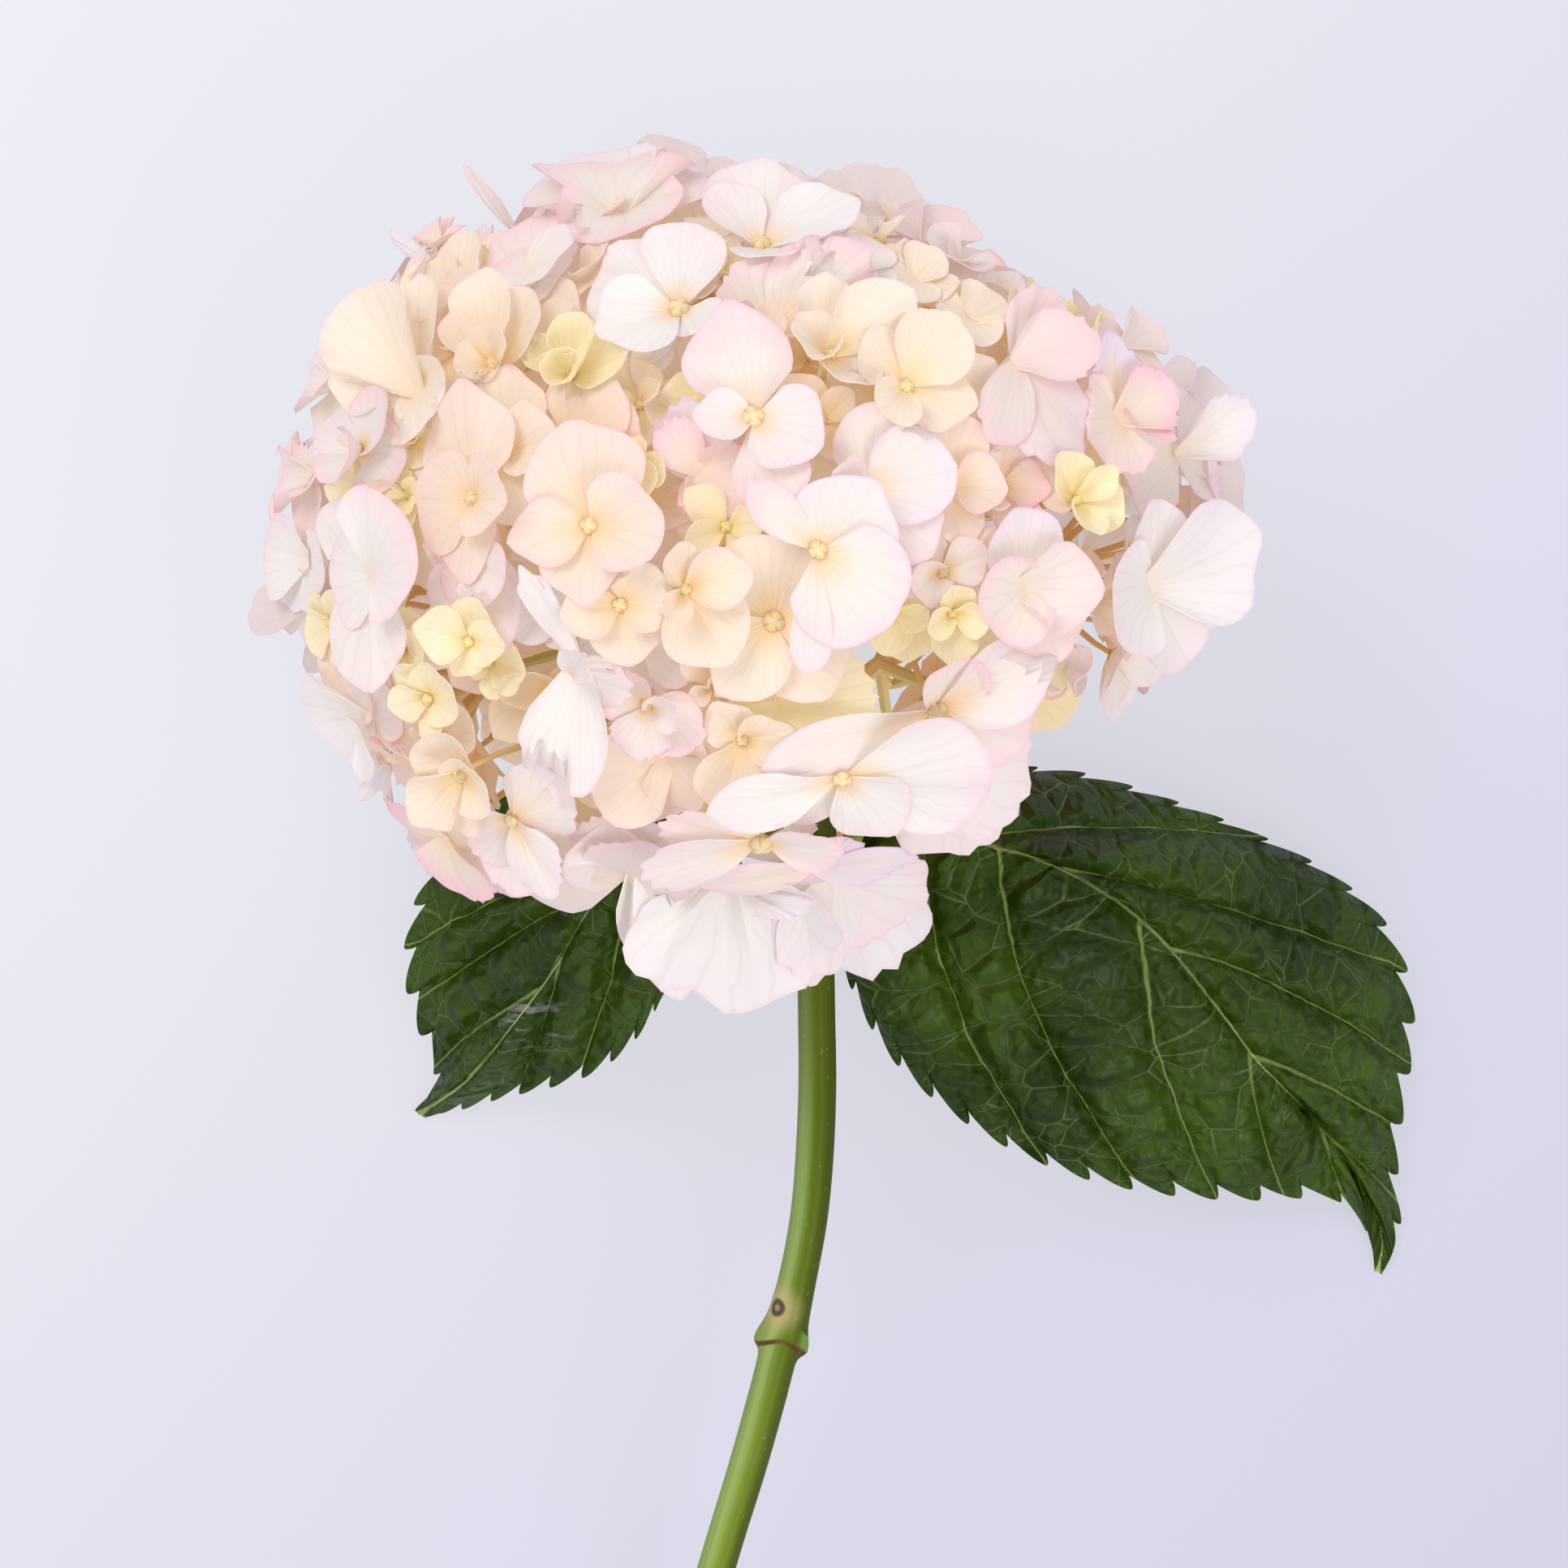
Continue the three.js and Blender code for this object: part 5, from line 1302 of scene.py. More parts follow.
every = join(upper, lower, between_florets, resting, inner)
outer = join(upper, lower, between_florets, resting)
outer = {key: numbers[outer["front"] > 0.5] for key, numbers in outer.items()}
rng = np.random.default_rng(31)
bud_size = np.clip(outer["size"] / 16, 0.6, 1.15) * rng.uniform(0.85, 1.1, len(outer["size"]))
bud_turn = rng.uniform(0, 1.5, len(bud_size))
buds, lobe, rise = bud_points(outer["eye"], outer["normal"], bud_size, bud_turn)
buds[..., 2] = np.maximum(buds[..., 2], TABLE_GAP)
bud_values = {
    "lobe": lobe.ravel(),
    "rise": rise.ravel(),
    "young": np.repeat(outer["young"], BUD_SIDES * BUD_RINGS),
}
bud_faces = tube_faces(BUD_RINGS, BUD_SIDES, len(buds))
bud_corners = buds.reshape(-1, 3)
make_piece("buds", bud_corners, bud_faces, bud_finish, bud_values, "flower_head")

# %% Where stalks fork
CROWN = seen(1003, 905, 69.0)  # where the rays part, just over the top of the stem
UPPER_STEM = seen(1003, 1040, 63.5)  # a place further down the stem
FORK_SHARE = 0.6  # of the ball, where the florets' stalks part
RAY_SHARE = 0.3  # of the ball, where the forks' stalks part
STALK_REACH = 14  # mm behind a floret, from where the nearest fork is chosen
STRAIGHT_END = 8  # mm over which a stalk arrives straight
STALK_SIDES = 6
STALK_RINGS = 7


def nearest(points, others):
    """For each point, the nearest of the others."""
    gaps = np.linalg.norm(points[:, None] - others[None], axis=-1)
    return others[gaps.argmin(-1)]


def bent_paths(start, start_along, end, end_along):
    """Curves from starts to ends that leave along one direction and arrive along another: the
    cubic through four points, two of which lie along those directions."""
    t = np.linspace(0, 1, STALK_RINGS)[None, :, None]
    first, second = start + start_along, end - end_along
    ends = (1 - t) ** 3 * start[:, None] + t**3 * end[:, None]
    return ends + 3 * t * (1 - t) ** 2 * first[:, None] + 3 * t**2 * (1 - t) * second[:, None]


fork_directions = golden_directions(46)
fork_directions = fork_directions[fork_directions[:, 1] > -0.75]
forks = HEAD_MIDDLE + fork_directions * HEAD_HALF * FORK_SHARE + np.array([0, -6, 0])
rays = HEAD_MIDDLE + golden_directions(9) * HEAD_HALF * RAY_SHARE + np.array([2, -14, 0])
print(len(every["eye"]), "florets on", len(forks), "forks on", len(rays), "rays")

# %% The stalks' tubes
eyes, facings = every["eye"], every["normal"]
floret_forks = nearest(eyes - facings * STALK_REACH, forks)
fork_rays = nearest(forks, rays)
crowns = np.broadcast_to(CROWN, rays.shape)
stem_up = unit(CROWN - UPPER_STEM)
paths = np.concatenate([
    bent_paths(floret_forks, (eyes - floret_forks) * 0.3, eyes, facings * STRAIGHT_END),
    bent_paths(fork_rays, (forks - fork_rays) * 0.3, forks,
               unit(forks - HEAD_MIDDLE) * STRAIGHT_END),
    bent_paths(crowns, stem_up * 10 + 0 * rays, rays, unit(rays - CROWN) * STRAIGHT_END),
])
# radii in mm at the start and the end of each stalk
radius_ends = np.concatenate([
    np.repeat([[0.75, 0.5]], len(eyes), 0),
    np.repeat([[1.3, 0.9]], len(forks), 0),
    np.repeat([[2.4, 1.5]], len(rays), 0),
])
share = np.linspace(0, 1, STALK_RINGS)
radii = radius_ends[:, :1] * (1 - share) + radius_ends[:, 1:] * share
stalk_points = tube_points(paths, radii[:, :, None], STALK_SIDES)
stalk_faces = tube_faces(STALK_RINGS, STALK_SIDES, len(paths))
# florets come first in this order and rays last
stalk_order = np.repeat(np.linspace(0, 1, len(paths)), STALK_RINGS * STALK_SIDES)
print(len(paths), "stalks in", stalk_points.shape[1], "rings of", stalk_points.shape[2], "points")


# %% Stalk material
def stalk_material():
    """Golden where it holds florets, greener on the rays, with cloudy and streaky parts."""
    graph = Graph("floret_stalk")
    order = graph.attribute("order")
    cloud = graph.noise(graph.place(), 45.0, 3.0)
    body = graph.mix(graph.fade(order, 0.75, 0.98), colour(240, 200, 146), colour(206, 206, 120))
    body = graph.mix(graph.fade(cloud, 0.35, 0.7), body, colour(244, 220, 160))
    streak = graph.noise(graph.place(), 300.0)
    surface = graph.node("ShaderNodeBsdfPrincipled", {}, {
        "Base Color": body, "Roughness": 0.5, "Normal": graph.bump(streak, 0.2, 0.0003),
    })
    return graph.finish(surface)


make_piece("floret_stalks", stalk_points.reshape(-1, 3), stalk_faces, stalk_material(),
           {"order": stalk_order}, "flower_head")

# %% [markdown]
# The stem
#
# A fresh green stem, a little over 7 mm thick, with the joint where a pair of leaves was
# stripped off. It could be a curve with a bevel, but a curve has one radius all round. So it is
# one tube along a smooth line, whose radius swells at the joints, most of all to the left and
# right, where the two leaf scars are.

# %% The stem's line in the picture
STEM_RADIUS = 3.55  # mm
STEM_LINE = (
    (1003, 935, 67), (1003, 1040, 63.5), (1006, 1240, 57), (1007, 1340, 53),
    (1003, 1434, 49.5), (996, 1504, 47), (983, 1574, 44.5), (972, 1620, 43),
    (959, 1667, 41), (947, 1714, 39.5), (921, 1807, 36), (892, 1901, 32.5),
    (858, 2020, 28), (828, 2150, 23), (808, 2300, 17.5), (799, 2450, 12),
    (797, 2600, 6.5), (799, 2700, 3.75),
)
STEM_RINGS = 440
STEM_SIDES = 40
BARE_JOINT = (966, 1650, 41.7)
LEAF_JOINT = (1003, 1045, 63.3)


def seen_list(rows):
    """Points from a list of pixel x, pixel y and height."""
    return seen(*np.array(rows, float).T)


stem_line = smooth_line(seen_list(STEM_LINE), STEM_RINGS)
stem_length = np.linalg.norm(np.diff(stem_line, axis=0), axis=1).sum()
print("stem:", round(stem_length, 1), "mm long")

# %% The stem's tube with its joints
JOINT_SWELLING = 1.5  # mm over the stem, at the bare joint
JOINT_ABOVE, JOINT_BELOW = 3.6, 1.5  # mm that the swelling reaches up and down the stem
SOFT_SWELLING = 0.35  # mm, of the softer swelling above it
LEAF_SWELLING = 0.9  # mm, at the leaves' joint
SOFT_REACH = 6.0  # mm
SCAR_SLANT = 1.3  # mm that the joint's ring rises and falls round the stem
along = np.linspace(0, stem_length, STEM_RINGS)
bare_joint, leaf_joint = (
    along[np.linalg.norm(stem_line - seen(*place), axis=1).argmin()]
    for place in (BARE_JOINT, LEAF_JOINT))
around = np.linspace(0, 2 * np.pi, STEM_SIDES, endpoint=False)
from_joint = (along - bare_joint)[:, None] + SCAR_SLANT * np.cos(2 * around)
two_sided = 0.3 + 0.7 * np.sin(around) ** 2
joint_reach = np.where(from_joint < 0, JOINT_ABOVE, JOINT_BELOW)
swelling = JOINT_SWELLING * np.exp(-((from_joint / joint_reach) ** 2)) * two_sided
swelling = swelling + SOFT_SWELLING * np.exp(-(((from_joint + 5) / SOFT_REACH) ** 2)) * two_sided
from_leaves = along[:, None] - leaf_joint
swelling = swelling + LEAF_SWELLING * np.exp(-((from_leaves / SOFT_REACH) ** 2))
ribbing = 0.05 * np.cos(6 * around + along[:, None] / 60) + 0.04 * np.sin(along[:, None] / 9)
stem_radius = STEM_RADIUS + swelling + ribbing
stem_radius = stem_radius * (1 - 0.12 * np.exp(-along[:, None] / 4))  # narrower at the top
stem_points = tube_points(stem_line[None], stem_radius[None], STEM_SIDES)
stem_points[..., 2] = np.maximum(stem_points[..., 2], 0.1)  # over the table
stem_values = {
    "joint": (from_joint + 0 * stem_radius).ravel(),
    "left": (np.sin(around) + 0 * stem_radius).ravel(),
    "along": (along[:, None] + 0 * stem_radius).ravel(),
    "around": (around * STEM_RADIUS + 0 * stem_radius).ravel(),
}
print("bare joint", round(bare_joint), "mm and leaf joint", round(leaf_joint), "mm down the stem")

# %% [markdown]
# Stem finish
#
# The stem is bright green, paler towards its foot, with painted shade on the side away from the
# light, a painted highlight on the side towards it, fine lines along it and pale dots. Round the
# bare joint run a brown rim and the green scars of the lost leaves, and just above it sits the
# brown print of an old bud. All of these are laid on by attributes: the distance from the joint,
# the place along and round the stem, and how far to the left its surface looks.

# %% Stem colours
OLD_BUD = (957, 1611, 46.2)


def stem_lines(graph, along, around):
    """Long streaks, from clouds stretched along the stem, and small round dots, from the
    distance to the nearest of scattered points."""
    stretched = graph.vector(along * 0.02, around * 1.6, 0.0)
    stripes = graph.noise(stretched, 1.0, 3.0)
    dots = graph.node("ShaderNodeTexVoronoi", {"feature": "F1"}, {
        "Vector": graph.vector(along * 0.30, around * 0.85, 0.0), "Scale": 1.0,
    })
    return stripes, 1 - graph.fade(dots, 0.07, 0.13)


def joint_marks(graph, body, joint, left):
    """The colour with the joint's brown rim, its two leaf scars and the print of an old bud."""
    sideways = left.absolute()
    rim = 1 - graph.fade((joint - 0.7).absolute(), 0.25, 0.85)
    rim = rim * (graph.fade(sideways, 0.0, 0.5) * 0.4 + 0.55)
    body = graph.mix(rim, body, colour(90, 48, 36))
    scar = 1 - graph.fade((joint + 1.6).absolute(), 1.1, 1.9)
    scar = scar * graph.fade(sideways, 0.55, 0.85)
    body = graph.mix(scar * 0.8, body, colour(122, 150, 70))
    from_bud = graph.distance(graph.place(), (seen(*OLD_BUD) * METRES).tolist())
    tan = (1 - graph.fade(from_bud, 0.0014, 0.0062)) * (1 - graph.fade(joint, -1.5, 0.5))
    body = graph.mix(tan * 0.7, body, colour(184, 164, 116))
    hollow = 1 - graph.fade(from_bud, 0.0008, 0.0017)
    body = graph.mix(hollow * 0.7, body, colour(132, 112, 100))
    ring = 1 - graph.fade((from_bud - 0.0012).absolute(), 0.0002, 0.0009)
    return graph.mix(ring * 0.85, body, colour(58, 42, 38))


print("old bud at", seen(*OLD_BUD).round(1), "mm")


# %% Stem material
def stem_material():
    """Green along the stem, with painted shade on its right side and a painted highlight on its
    left, then streaks, the joint's marks and pale dots.
    """
    graph = Graph("stem")
    joint = graph.attribute("joint")
    along = graph.attribute("along")
    left = graph.attribute("left")
    cloud = graph.noise(graph.place(), 28.0, 3.0)
    body = graph.mix(graph.fade(along, 60.0, 190.0), colour(80, 98, 2), colour(121, 143, 44))
    body = graph.mix(graph.fade(cloud, 0.4, 0.75) * 0.5, body, colour(128, 140, 60))
    # painted shade on the right side, away from the key lamp
    body = graph.mix(graph.fade(left * -1, -0.1, 0.85) * 0.9, body, colour(62, 74, 0))
    # painted highlight: a sheen band on the left side, towards the key lamp
    painted_sheen = graph.fade(left, 0.0, 0.6) * (1 - graph.fade(left, 0.7, 1.3))
    body = graph.mix(painted_sheen * graph.fade(along, 0.0, 90.0) * 0.5, body, colour(168, 190, 118))
    stripes, speck = stem_lines(graph, along, graph.attribute("around"))
    body = graph.mix(graph.fade(stripes, 0.45, 0.7) * 0.3, body, colour(82, 104, 14))
    body = joint_marks(graph, body, joint, left)
    body = graph.mix(speck * 0.35, body, colour(176, 182, 110))
    fine = graph.noise(graph.place(), 700.0)
    normal = graph.bump(stripes * 0.7 + speck * 0.5 + fine * 0.12, 0.35, 0.0005)
    surface = graph.node("ShaderNodeBsdfPrincipled", {}, {
        "Base Color": body, "Roughness": 0.45, "Specular IOR Level": 0.12, "Normal": normal,
    })
    return graph.finish(surface)


make_piece("stem_skin", stem_points.reshape(-1, 3), tube_faces(STEM_RINGS, STEM_SIDES, 1),
           stem_material(), stem_values, "stem")

# %% [markdown]
# The leaves
#
# A hydrangea leaf is broad, dark and glossy, with saw teeth and a quilted blade that swells up
# between its side veins. The sheet is woven between the midrib and the two margins, so that its
# cross lines are the side veins themselves: each vein of the picture is one pair of pixels,
# where it leaves the midrib and where it meets the margin.

# %% What the two leaves look like in the picture
# midrib, margins and stalk as pixel x, pixel y, height; veins as midrib x, y and margin x, y
RIGHT_LEAF = {
    "midrib": ((1066, 992, 51), (1204, 1035, 51), (1306, 1068, 47), (1408, 1135, 41),
               (1500, 1242, 33), (1546, 1303, 28), (1615, 1374, 19), (1672, 1452, 9),
               (1703, 1520, 3.5), (1698, 1566, 1.2)),
    "left": ((1070, 978, 50), (1130, 945, 42), (1263, 948, 32), (1332, 956, 28), (1444, 990, 22),
             (1554, 1034, 16), (1635, 1078, 12), (1695, 1130, 9), (1728, 1200, 8),
             (1735, 1270, 8), (1728, 1330, 8), (1718, 1400, 6.5), (1716, 1450, 5),
             (1720, 1500, 3), (1716, 1540, 1.8), (1702, 1570, 1)),
    "right": ((1062, 1004, 50), (1034, 1060, 48), (1032, 1140, 45), (1056, 1220, 42),
              (1104, 1300, 38), (1180, 1368, 34), (1266, 1418, 30), (1350, 1448, 26),
              (1440, 1464, 21.5), (1530, 1470, 17), (1600, 1468, 12.5), (1645, 1472, 9),
              (1674, 1496, 6), (1690, 1532, 3), (1694, 1566, 1)),
    "stalk": ((1044, 1052, 61.5), (1056, 1018, 55), (1080, 994, 50.5), (1130, 1008, 50)),
    "left_veins": ((1120, 1008, 1290, 950), (1204, 1035, 1545, 1031), (1306, 1068, 1724, 1192),
                   (1442, 1168, 1731, 1305), (1546, 1303, 1720, 1390), (1630, 1392, 1717, 1475)),
    "right_veins": ((1085, 998, 1040, 1170), (1140, 1014, 1285, 1424), (1232, 1044, 1405, 1459),
                    (1408, 1135, 1492, 1467), (1540, 1298, 1578, 1469), (1625, 1385, 1660, 1484)),
    "teeth": 19,
}
LEFT_LEAF = {
    "midrib": ((924, 992, 50), (830, 1016, 50), (737, 1106, 45), (685, 1191, 37), (634, 1260, 28),
               (576, 1330, 14), (516, 1372, 1.6)),
    "left": ((926, 1006, 50), (914, 1060, 48), (876, 1136, 43), (824, 1210, 36), (780, 1276, 29),
             (732, 1314, 23), (680, 1332, 18), (630, 1344, 12), (576, 1360, 5), (524, 1376, 1.2)),
    "right": ((920, 978, 50), (820, 948, 46), (700, 952, 38), (600, 998, 29), (536, 1074, 22),
              (510, 1140, 18), (506, 1200, 15), (520, 1260, 11), (540, 1310, 7),
              (532, 1346, 3.5), (512, 1368, 1.2)),
    "stalk": ((962, 1052, 61.5), (950, 1018, 55), (924, 994, 49.5), (870, 1004, 48.5)),
    "left_veins": ((880, 1000, 888, 1112), (830, 1016, 812, 1228), (770, 1070, 712, 1322),
                   (690, 1180, 640, 1342)),
    "right_veins": ((875, 1002, 690, 953), (810, 1028, 506, 1165), (742, 1102, 514, 1236),
                    (668, 1215, 541, 1308)),
    "teeth": 14,
}
print("right leaf's midrib runs through", len(RIGHT_LEAF["midrib"]), "places")

# %% How finely the leaves are made
LEAF_ROWS = 320
LEAF_COLUMNS = 56
LINE_POINTS = 801  # on each midrib and margin
LEAF_ARCH = 0.06  # height of a side vein's arch, of its own length
QUILT_HEIGHT = 1.9  # mm that the blade swells between side veins
VEIN_BOW = 0.10  # how far a side vein bows back towards the base, of its own length
TOOTH_DEPTH = 3.5  # mm from the notches to the tips
TOOTH_SLANT = 1.5  # mm from a tooth's tip towards the tip of the leaf
TOOTH_RISE = 0.72  # share of a tooth that climbs to its tip
BLADE_HALF = 0.22  # mm, half the thickness
VEIN_SINK = 0.22  # mm that a side vein lies in the upper face
VEIN_RIB = 0.55  # mm that it stands out of the lower face
MIDRIB_SINK, MIDRIB_RIB = 0.25, 2.0  # mm, the same at the base of the midrib
LOWEST_UPPER, LOWEST_LOWER = 0.6, 0.12  # mm over the table, of a blade's two faces
print("a blade's cells:", LEAF_ROWS, "x", LEAF_COLUMNS)


# %% Places along lines
def smooth_step(values, low, high):
    """0 below low, 1 above high, and an S-shaped rise between: 3 t squared less 2 t cubed."""
    t = np.clip((values - low) / (high - low), 0, 1)
    return t * t * (3 - 2 * t)


def share_near(line, x, y):
    """The share of the way along a line at its point nearest to a pixel, as seen from above."""
    heights = line[:, 2]
    return np.linalg.norm(line - seen(x, y, heights), axis=1).argmin() / (len(line) - 1)


def at_shares(line, shares):
    """Points at shares of the way along a line of evenly spaced points."""
    places = shares * (len(line) - 1)
    return np.stack([np.interp(places, np.arange(len(line)), line[:, k]) for k in range(3)], -1)


print("a smooth step at its quarter:", smooth_step(0.25, 0, 1))


# %% Weaving half a leaf
def half_leaf(midrib, margin, veins, teeth, across):
    """One side of a blade. Row u meets the margin at share u and leaves the midrib where the
    veins of the picture say. Between two veins the blade swells as a half sine wave, and the
    margin steps in and out with the slanted wave of its teeth. Returned with the points are the
    distance between two side veins at right angles to them, the distance from the midrib, the
    number of the vein counted from the base, and the distance along the vein's direction."""
    u = np.linspace(0, 1, LEAF_ROWS + 1)
    margin_shares = [share_near(margin, x, y) for _, _, x, y in veins]
    midrib_shares = [share_near(midrib, x, y) for x, y, _, _ in veins]
    knots = np.array([0, *margin_shares, 1])
    inner = at_shares(midrib, np.interp(u, knots, [0, *midrib_shares, 1]))[:, None]
    outer = at_shares(margin, u)[:, None]
    order = np.interp(u, knots, np.arange(len(knots)))[:, None]
    # straight lines from the midrib to the margin, bowed back towards the base
    chord = outer - inner
    width = np.linalg.norm(chord, axis=-1)
    a = across[None, :]
    points = inner + chord * a[..., None]
    forward = unit(np.gradient(midrib, axis=0))
    forward = at_shares(forward, np.interp(u, knots, [0, *midrib_shares, 1]))[:, None]
    hump = 4 * a * (1 - a)
    ends = np.minimum(1, 8 * u * (1 - u))[:, None]
    points = points - forward * (VEIN_BOW * width * hump * ends)[..., None]
    # swelling between the veins, flat along the midrib and the margin
    puff = np.abs(np.sin(np.pi * order)) ** 0.8 * np.minimum(1, width / 18)
    swell = smooth_step(a * width, 0.8, 7.0) * smooth_step((1 - a) * width, 0.0, 7.0)
    points[..., 2] += LEAF_ARCH * width * hump + QUILT_HEIGHT * puff * swell
    # teeth along the margin: a slow climb, a quick fall, and none at the base and the tip
    t = (u * teeth)[:, None] % 1
    saw = np.where(t < TOOTH_RISE, t / TOOTH_RISE, (1 - t) / (1 - TOOTH_RISE))
    saw = np.sin(saw * np.pi / 2) - 0.55
    toothed = np.clip((u - 0.05) / 0.04, 0, 1) * np.clip((0.97 - u) / 0.03, 0, 1)
    near_edge = np.clip((a - 0.78) / 0.22, 0, 1) ** 2
    out = unit(chord)
    points = points + out * (TOOTH_DEPTH * saw * toothed[:, None] * near_edge)[..., None]
    lean = unit(np.gradient(at_shares(margin, u), axis=0))[:, None]
    points = points + lean * (TOOTH_SLANT * saw * toothed[:, None] * near_edge)[..., None]
    # the step to the next vein, without its part along the vein
    rate = np.maximum(np.gradient(order[:, 0]), 1e-6)[:, None, None]
    to_next_vein = np.gradient(inner + chord * a[..., None], axis=0) / rate
    to_next_vein = to_next_vein - out * np.sum(to_next_vein * out, -1, keepdims=True)
    spacing = np.linalg.norm(to_next_vein, axis=-1)
    reach = np.sum((points - midrib[0]) * out, -1)
    return points, spacing, a * width + 0 * spacing, order + 0 * spacing, reach


print("a tooth climbs over", TOOTH_RISE, "of its length")


# %% A whole leaf
def leaf_mesh(leaf):
    """Points, faces and attributes of a whole blade: two halves that share the midrib, with
    ribs that stand out of the underside, as one closed shell."""
    midrib, left, right = (
        smooth_line(seen_list(leaf[key]), LINE_POINTS) for key in ("midrib", "left", "right"))
    steps = np.linspace(0, 1, LEAF_COLUMNS // 2 + 1) ** 1.4
    halves = [half_leaf(midrib, margin, leaf[veins], leaf["teeth"], steps)
              for margin, veins in ((right, "right_veins"), (left, "left_veins"))]
    halves[0][0][:, 0] = halves[1][0][:, 0] = (halves[0][0][:, 0] + halves[1][0][:, 0]) / 2
    points, spacing, off_rib, order, reach = (
        np.concatenate([one[:, :0:-1], two], 1) for one, two in zip(*halves))
    off_vein = np.abs((order + 0.5) % 1 - 0.5) * spacing
    taper = np.linspace(1, 0.15, LEAF_ROWS + 1)[:, None]
    groove = MIDRIB_SINK * taper * np.exp(-((off_rib / 1.3) ** 2))
    veins = np.exp(-((off_vein / 0.55) ** 2)) * np.exp(-((off_rib / 40) ** 2))
    points[..., 2] = np.maximum(points[..., 2] - groove - VEIN_SINK * veins, LOWEST_UPPER)
    normal = sheet_normals(points)
    ribs = MIDRIB_RIB * taper * np.exp(-((off_rib / 1.5) ** 2)) + VEIN_RIB * veins
    upper = points + normal * BLADE_HALF
    lower = points - normal * (BLADE_HALF + ribs)[..., None]
    lower[..., 2] = np.maximum(lower[..., 2], LOWEST_LOWER)
    faces = shell_faces(LEAF_ROWS, LEAF_COLUMNS, 1)
    underside = np.stack([0 * off_rib, 0 * off_rib + 1])
    values = {"spacing": spacing, "off_rib": off_rib, "order": order, "reach": reach}
    values = {key: np.stack([v, v]).ravel() for key, v in values.items()}
    values["underside"] = underside.ravel()
    return np.stack([upper, lower]).reshape(-1, 3), faces, values


print("side veins sink", VEIN_SINK, "mm into the upper face and stand", VEIN_RIB, "mm out below")

# %% [markdown]
# Leaf finish
#
# Leaves are glossy dark green, with a pale midrib and side veins, rungs between those, and a
# fine net in the last gaps. A painted image would need the leaf laid out flat. Here the weaving
# already tells how far each point lies from the midrib and between which side veins, so the
# large veins follow from those numbers, and the borders of scattered cells make the small ones.


# %% Leaf veins
WORN_PATCH = (652, 1250, 29)


def cell_borders(graph, vector, scale):
    """Distance to the border between the nearest two of scattered points."""
    settings = {"feature": "DISTANCE_TO_EDGE"}
    return graph.node("ShaderNodeTexVoronoi", settings, {"Vector": vector, "Scale": scale})


print("worn patch at", seen(*WORN_PATCH).round(1), "mm")


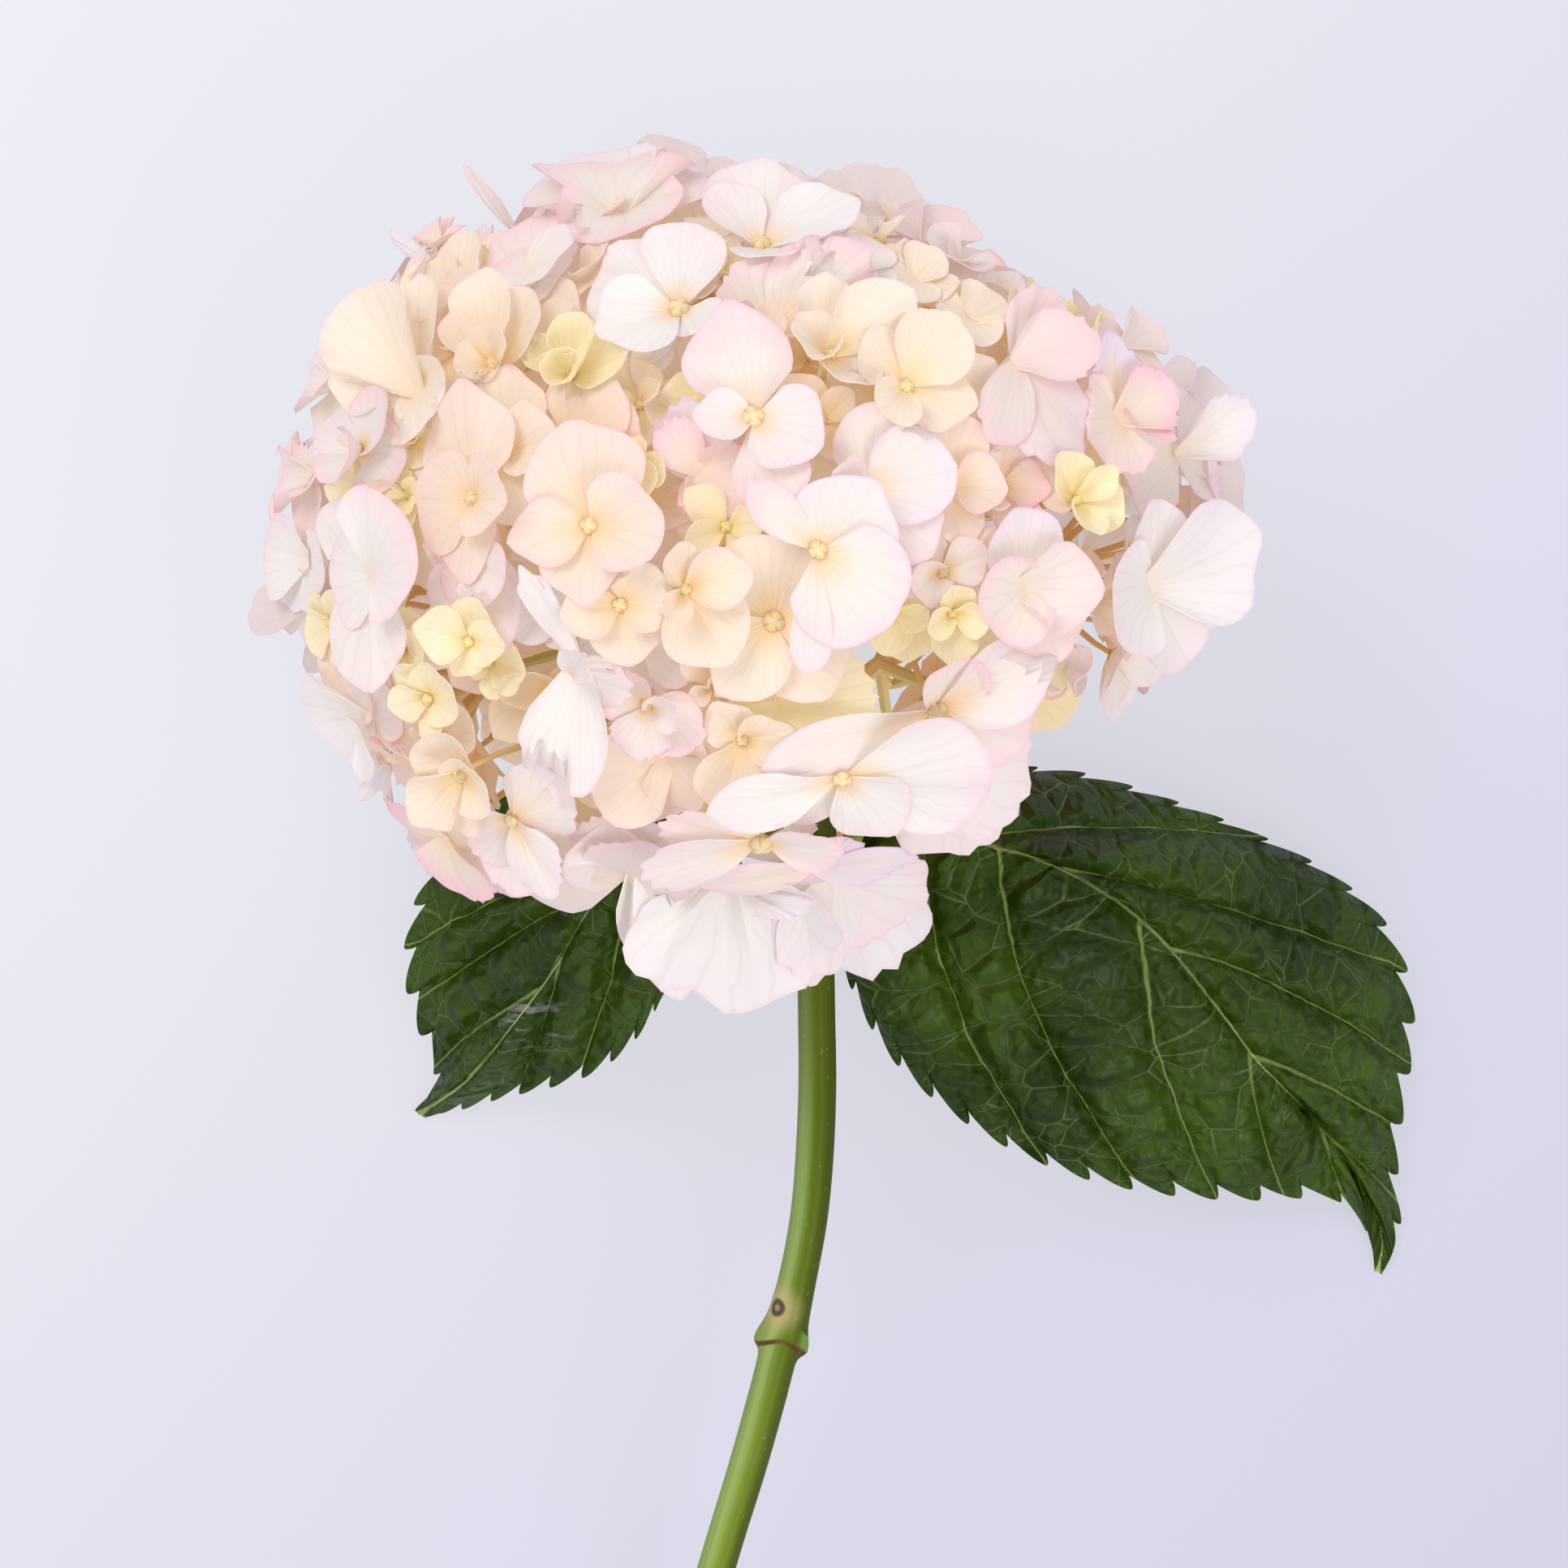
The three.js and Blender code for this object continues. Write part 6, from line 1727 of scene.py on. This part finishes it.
# %% Leaf material
def leaf_material():
    """Green with pale veins of four ranks: midrib, side veins, the rungs between those and a fine
    net. The blade swells up between them, painted shade darkens the furrows beside the rungs and
    the side veins, and one worn patch is scratched pale."""
    graph = Graph("leaf")
    place = graph.place()
    off_rib = graph.attribute("off_rib")
    underside = graph.attribute("underside")
    cloud = graph.noise(place, 34.0, 3.0)
    wander = graph.noise(place, 90.0, 3.0)
    order = graph.attribute("order") + (wander - 0.5) * 0.16
    stretched = graph.vector(order * 1.5, graph.attribute("reach") * 0.15, 0.0)
    rungs = cell_borders(graph, stretched, 1.0)
    meshes = cell_borders(graph, place, 300.0)
    beside = ((order + 0.5).fraction() - 0.5).absolute() * graph.attribute("spacing")
    rung = (1 - graph.fade(rungs, 0.003, 0.024)) * graph.fade(wander, 0.38, 0.62)
    mesh = 1 - graph.fade(meshes, 0.0, 0.10)
    outward = graph.fade(off_rib, 0.0, 55.0)
    side = 1 - graph.fade(beside, 0.12 - outward * 0.1, 0.48 - outward * 0.22)
    rib = 1 - graph.fade(off_rib, 0.45, 1.5 - order * 0.11)
    body = graph.mix(graph.fade(cloud, 0.3, 0.7), colour(36, 54, 4), colour(62, 88, 14))
    body = graph.mix(mesh * 0.10, body, colour(80, 104, 34))
    # painted shade in the furrows next to the rungs and the side veins
    furrow_shade = (1 - graph.fade(rungs, 0.01, 0.11)) * 0.4 + (1 - graph.fade(beside, 0.3, 1.3)) * 0.3
    body = graph.mix(furrow_shade, body, colour(30, 46, 6))
    body = graph.mix(rung * 0.42, body, colour(112, 136, 62))
    body = graph.mix(side * (0.9 - order * 0.07), body, colour(134, 156, 76))
    body = graph.mix(rib * 0.9, body, colour(162, 180, 102))
    body = graph.mix(underside * 0.7, body, colour(124, 146, 92))
    away = graph.distance(place, (seen(*WORN_PATCH) * METRES).tolist())
    scratches = graph.noise(graph.node("ShaderNodeMapping", {}, {
        "Vector": place, "Rotation": (0, 0, -0.8), "Scale": (0.35, 1.9, 1.0),
    }), 240.0, 3.0)
    worn = (1 - graph.fade(away, 0.003, 0.012)) * graph.fade(scratches, 0.54, 0.64)
    body = graph.mix(worn * 0.4, body, colour(168, 168, 168))
    swell = graph.fade(beside, 0.0, 4.0) * (graph.fade(rungs, 0.0, 0.34) * 0.6 + 0.4)
    relief = swell + graph.fade(meshes, 0.0, 0.5) * 0.18 + cloud * 0.4
    normal = graph.bump(relief, 1.0, 0.0032)
    surface = graph.node("ShaderNodeBsdfPrincipled", {}, {
        "Base Color": body, "Roughness": 0.40, "Specular IOR Level": 0.2, "Normal": normal,
    })
    through = graph.node("ShaderNodeBsdfTranslucent", {}, {"Color": body})
    return graph.finish(graph.node("ShaderNodeMixShader", {}, {0: 0.08, 1: surface, 2: through}))


leaf_finish = leaf_material()
print("leaf finish:", len(leaf_finish.node_tree.nodes), "nodes")

# %% The two leaves and their stalks
ROD_RINGS = 24
ROD_SIDES = 14
ROD_RADII = (2.2, 1.4)  # mm, at the stem and on the blade
rod_points = ROD_RINGS * ROD_SIDES
# a stalk is finished like a midrib that is seen a little from below
rod_values = {
    "spacing": np.full(rod_points, 9.0),
    "off_rib": np.zeros(rod_points),
    "order": np.full(rod_points, 0.5),
    "underside": np.full(rod_points, 0.3),
    "reach": np.repeat(np.arange(float(ROD_RINGS)), ROD_SIDES),
}
rod_faces = tube_faces(ROD_RINGS, ROD_SIDES, 1)
rod_radius = np.linspace(*ROD_RADII, ROD_RINGS)[:, None]
for name, leaf in (("leaf_right", RIGHT_LEAF), ("leaf_left", LEFT_LEAF)):
    points, faces, values = leaf_mesh(leaf)
    make_piece(name + "_blade", points, faces, leaf_finish, values, name)
    line = smooth_line(seen_list(leaf["stalk"]), ROD_RINGS)
    rod = tube_points(line[None], rod_radius[None], ROD_SIDES).reshape(-1, 3)
    make_piece(name + "_stalk", rod, rod_faces, leaf_finish, rod_values, name)
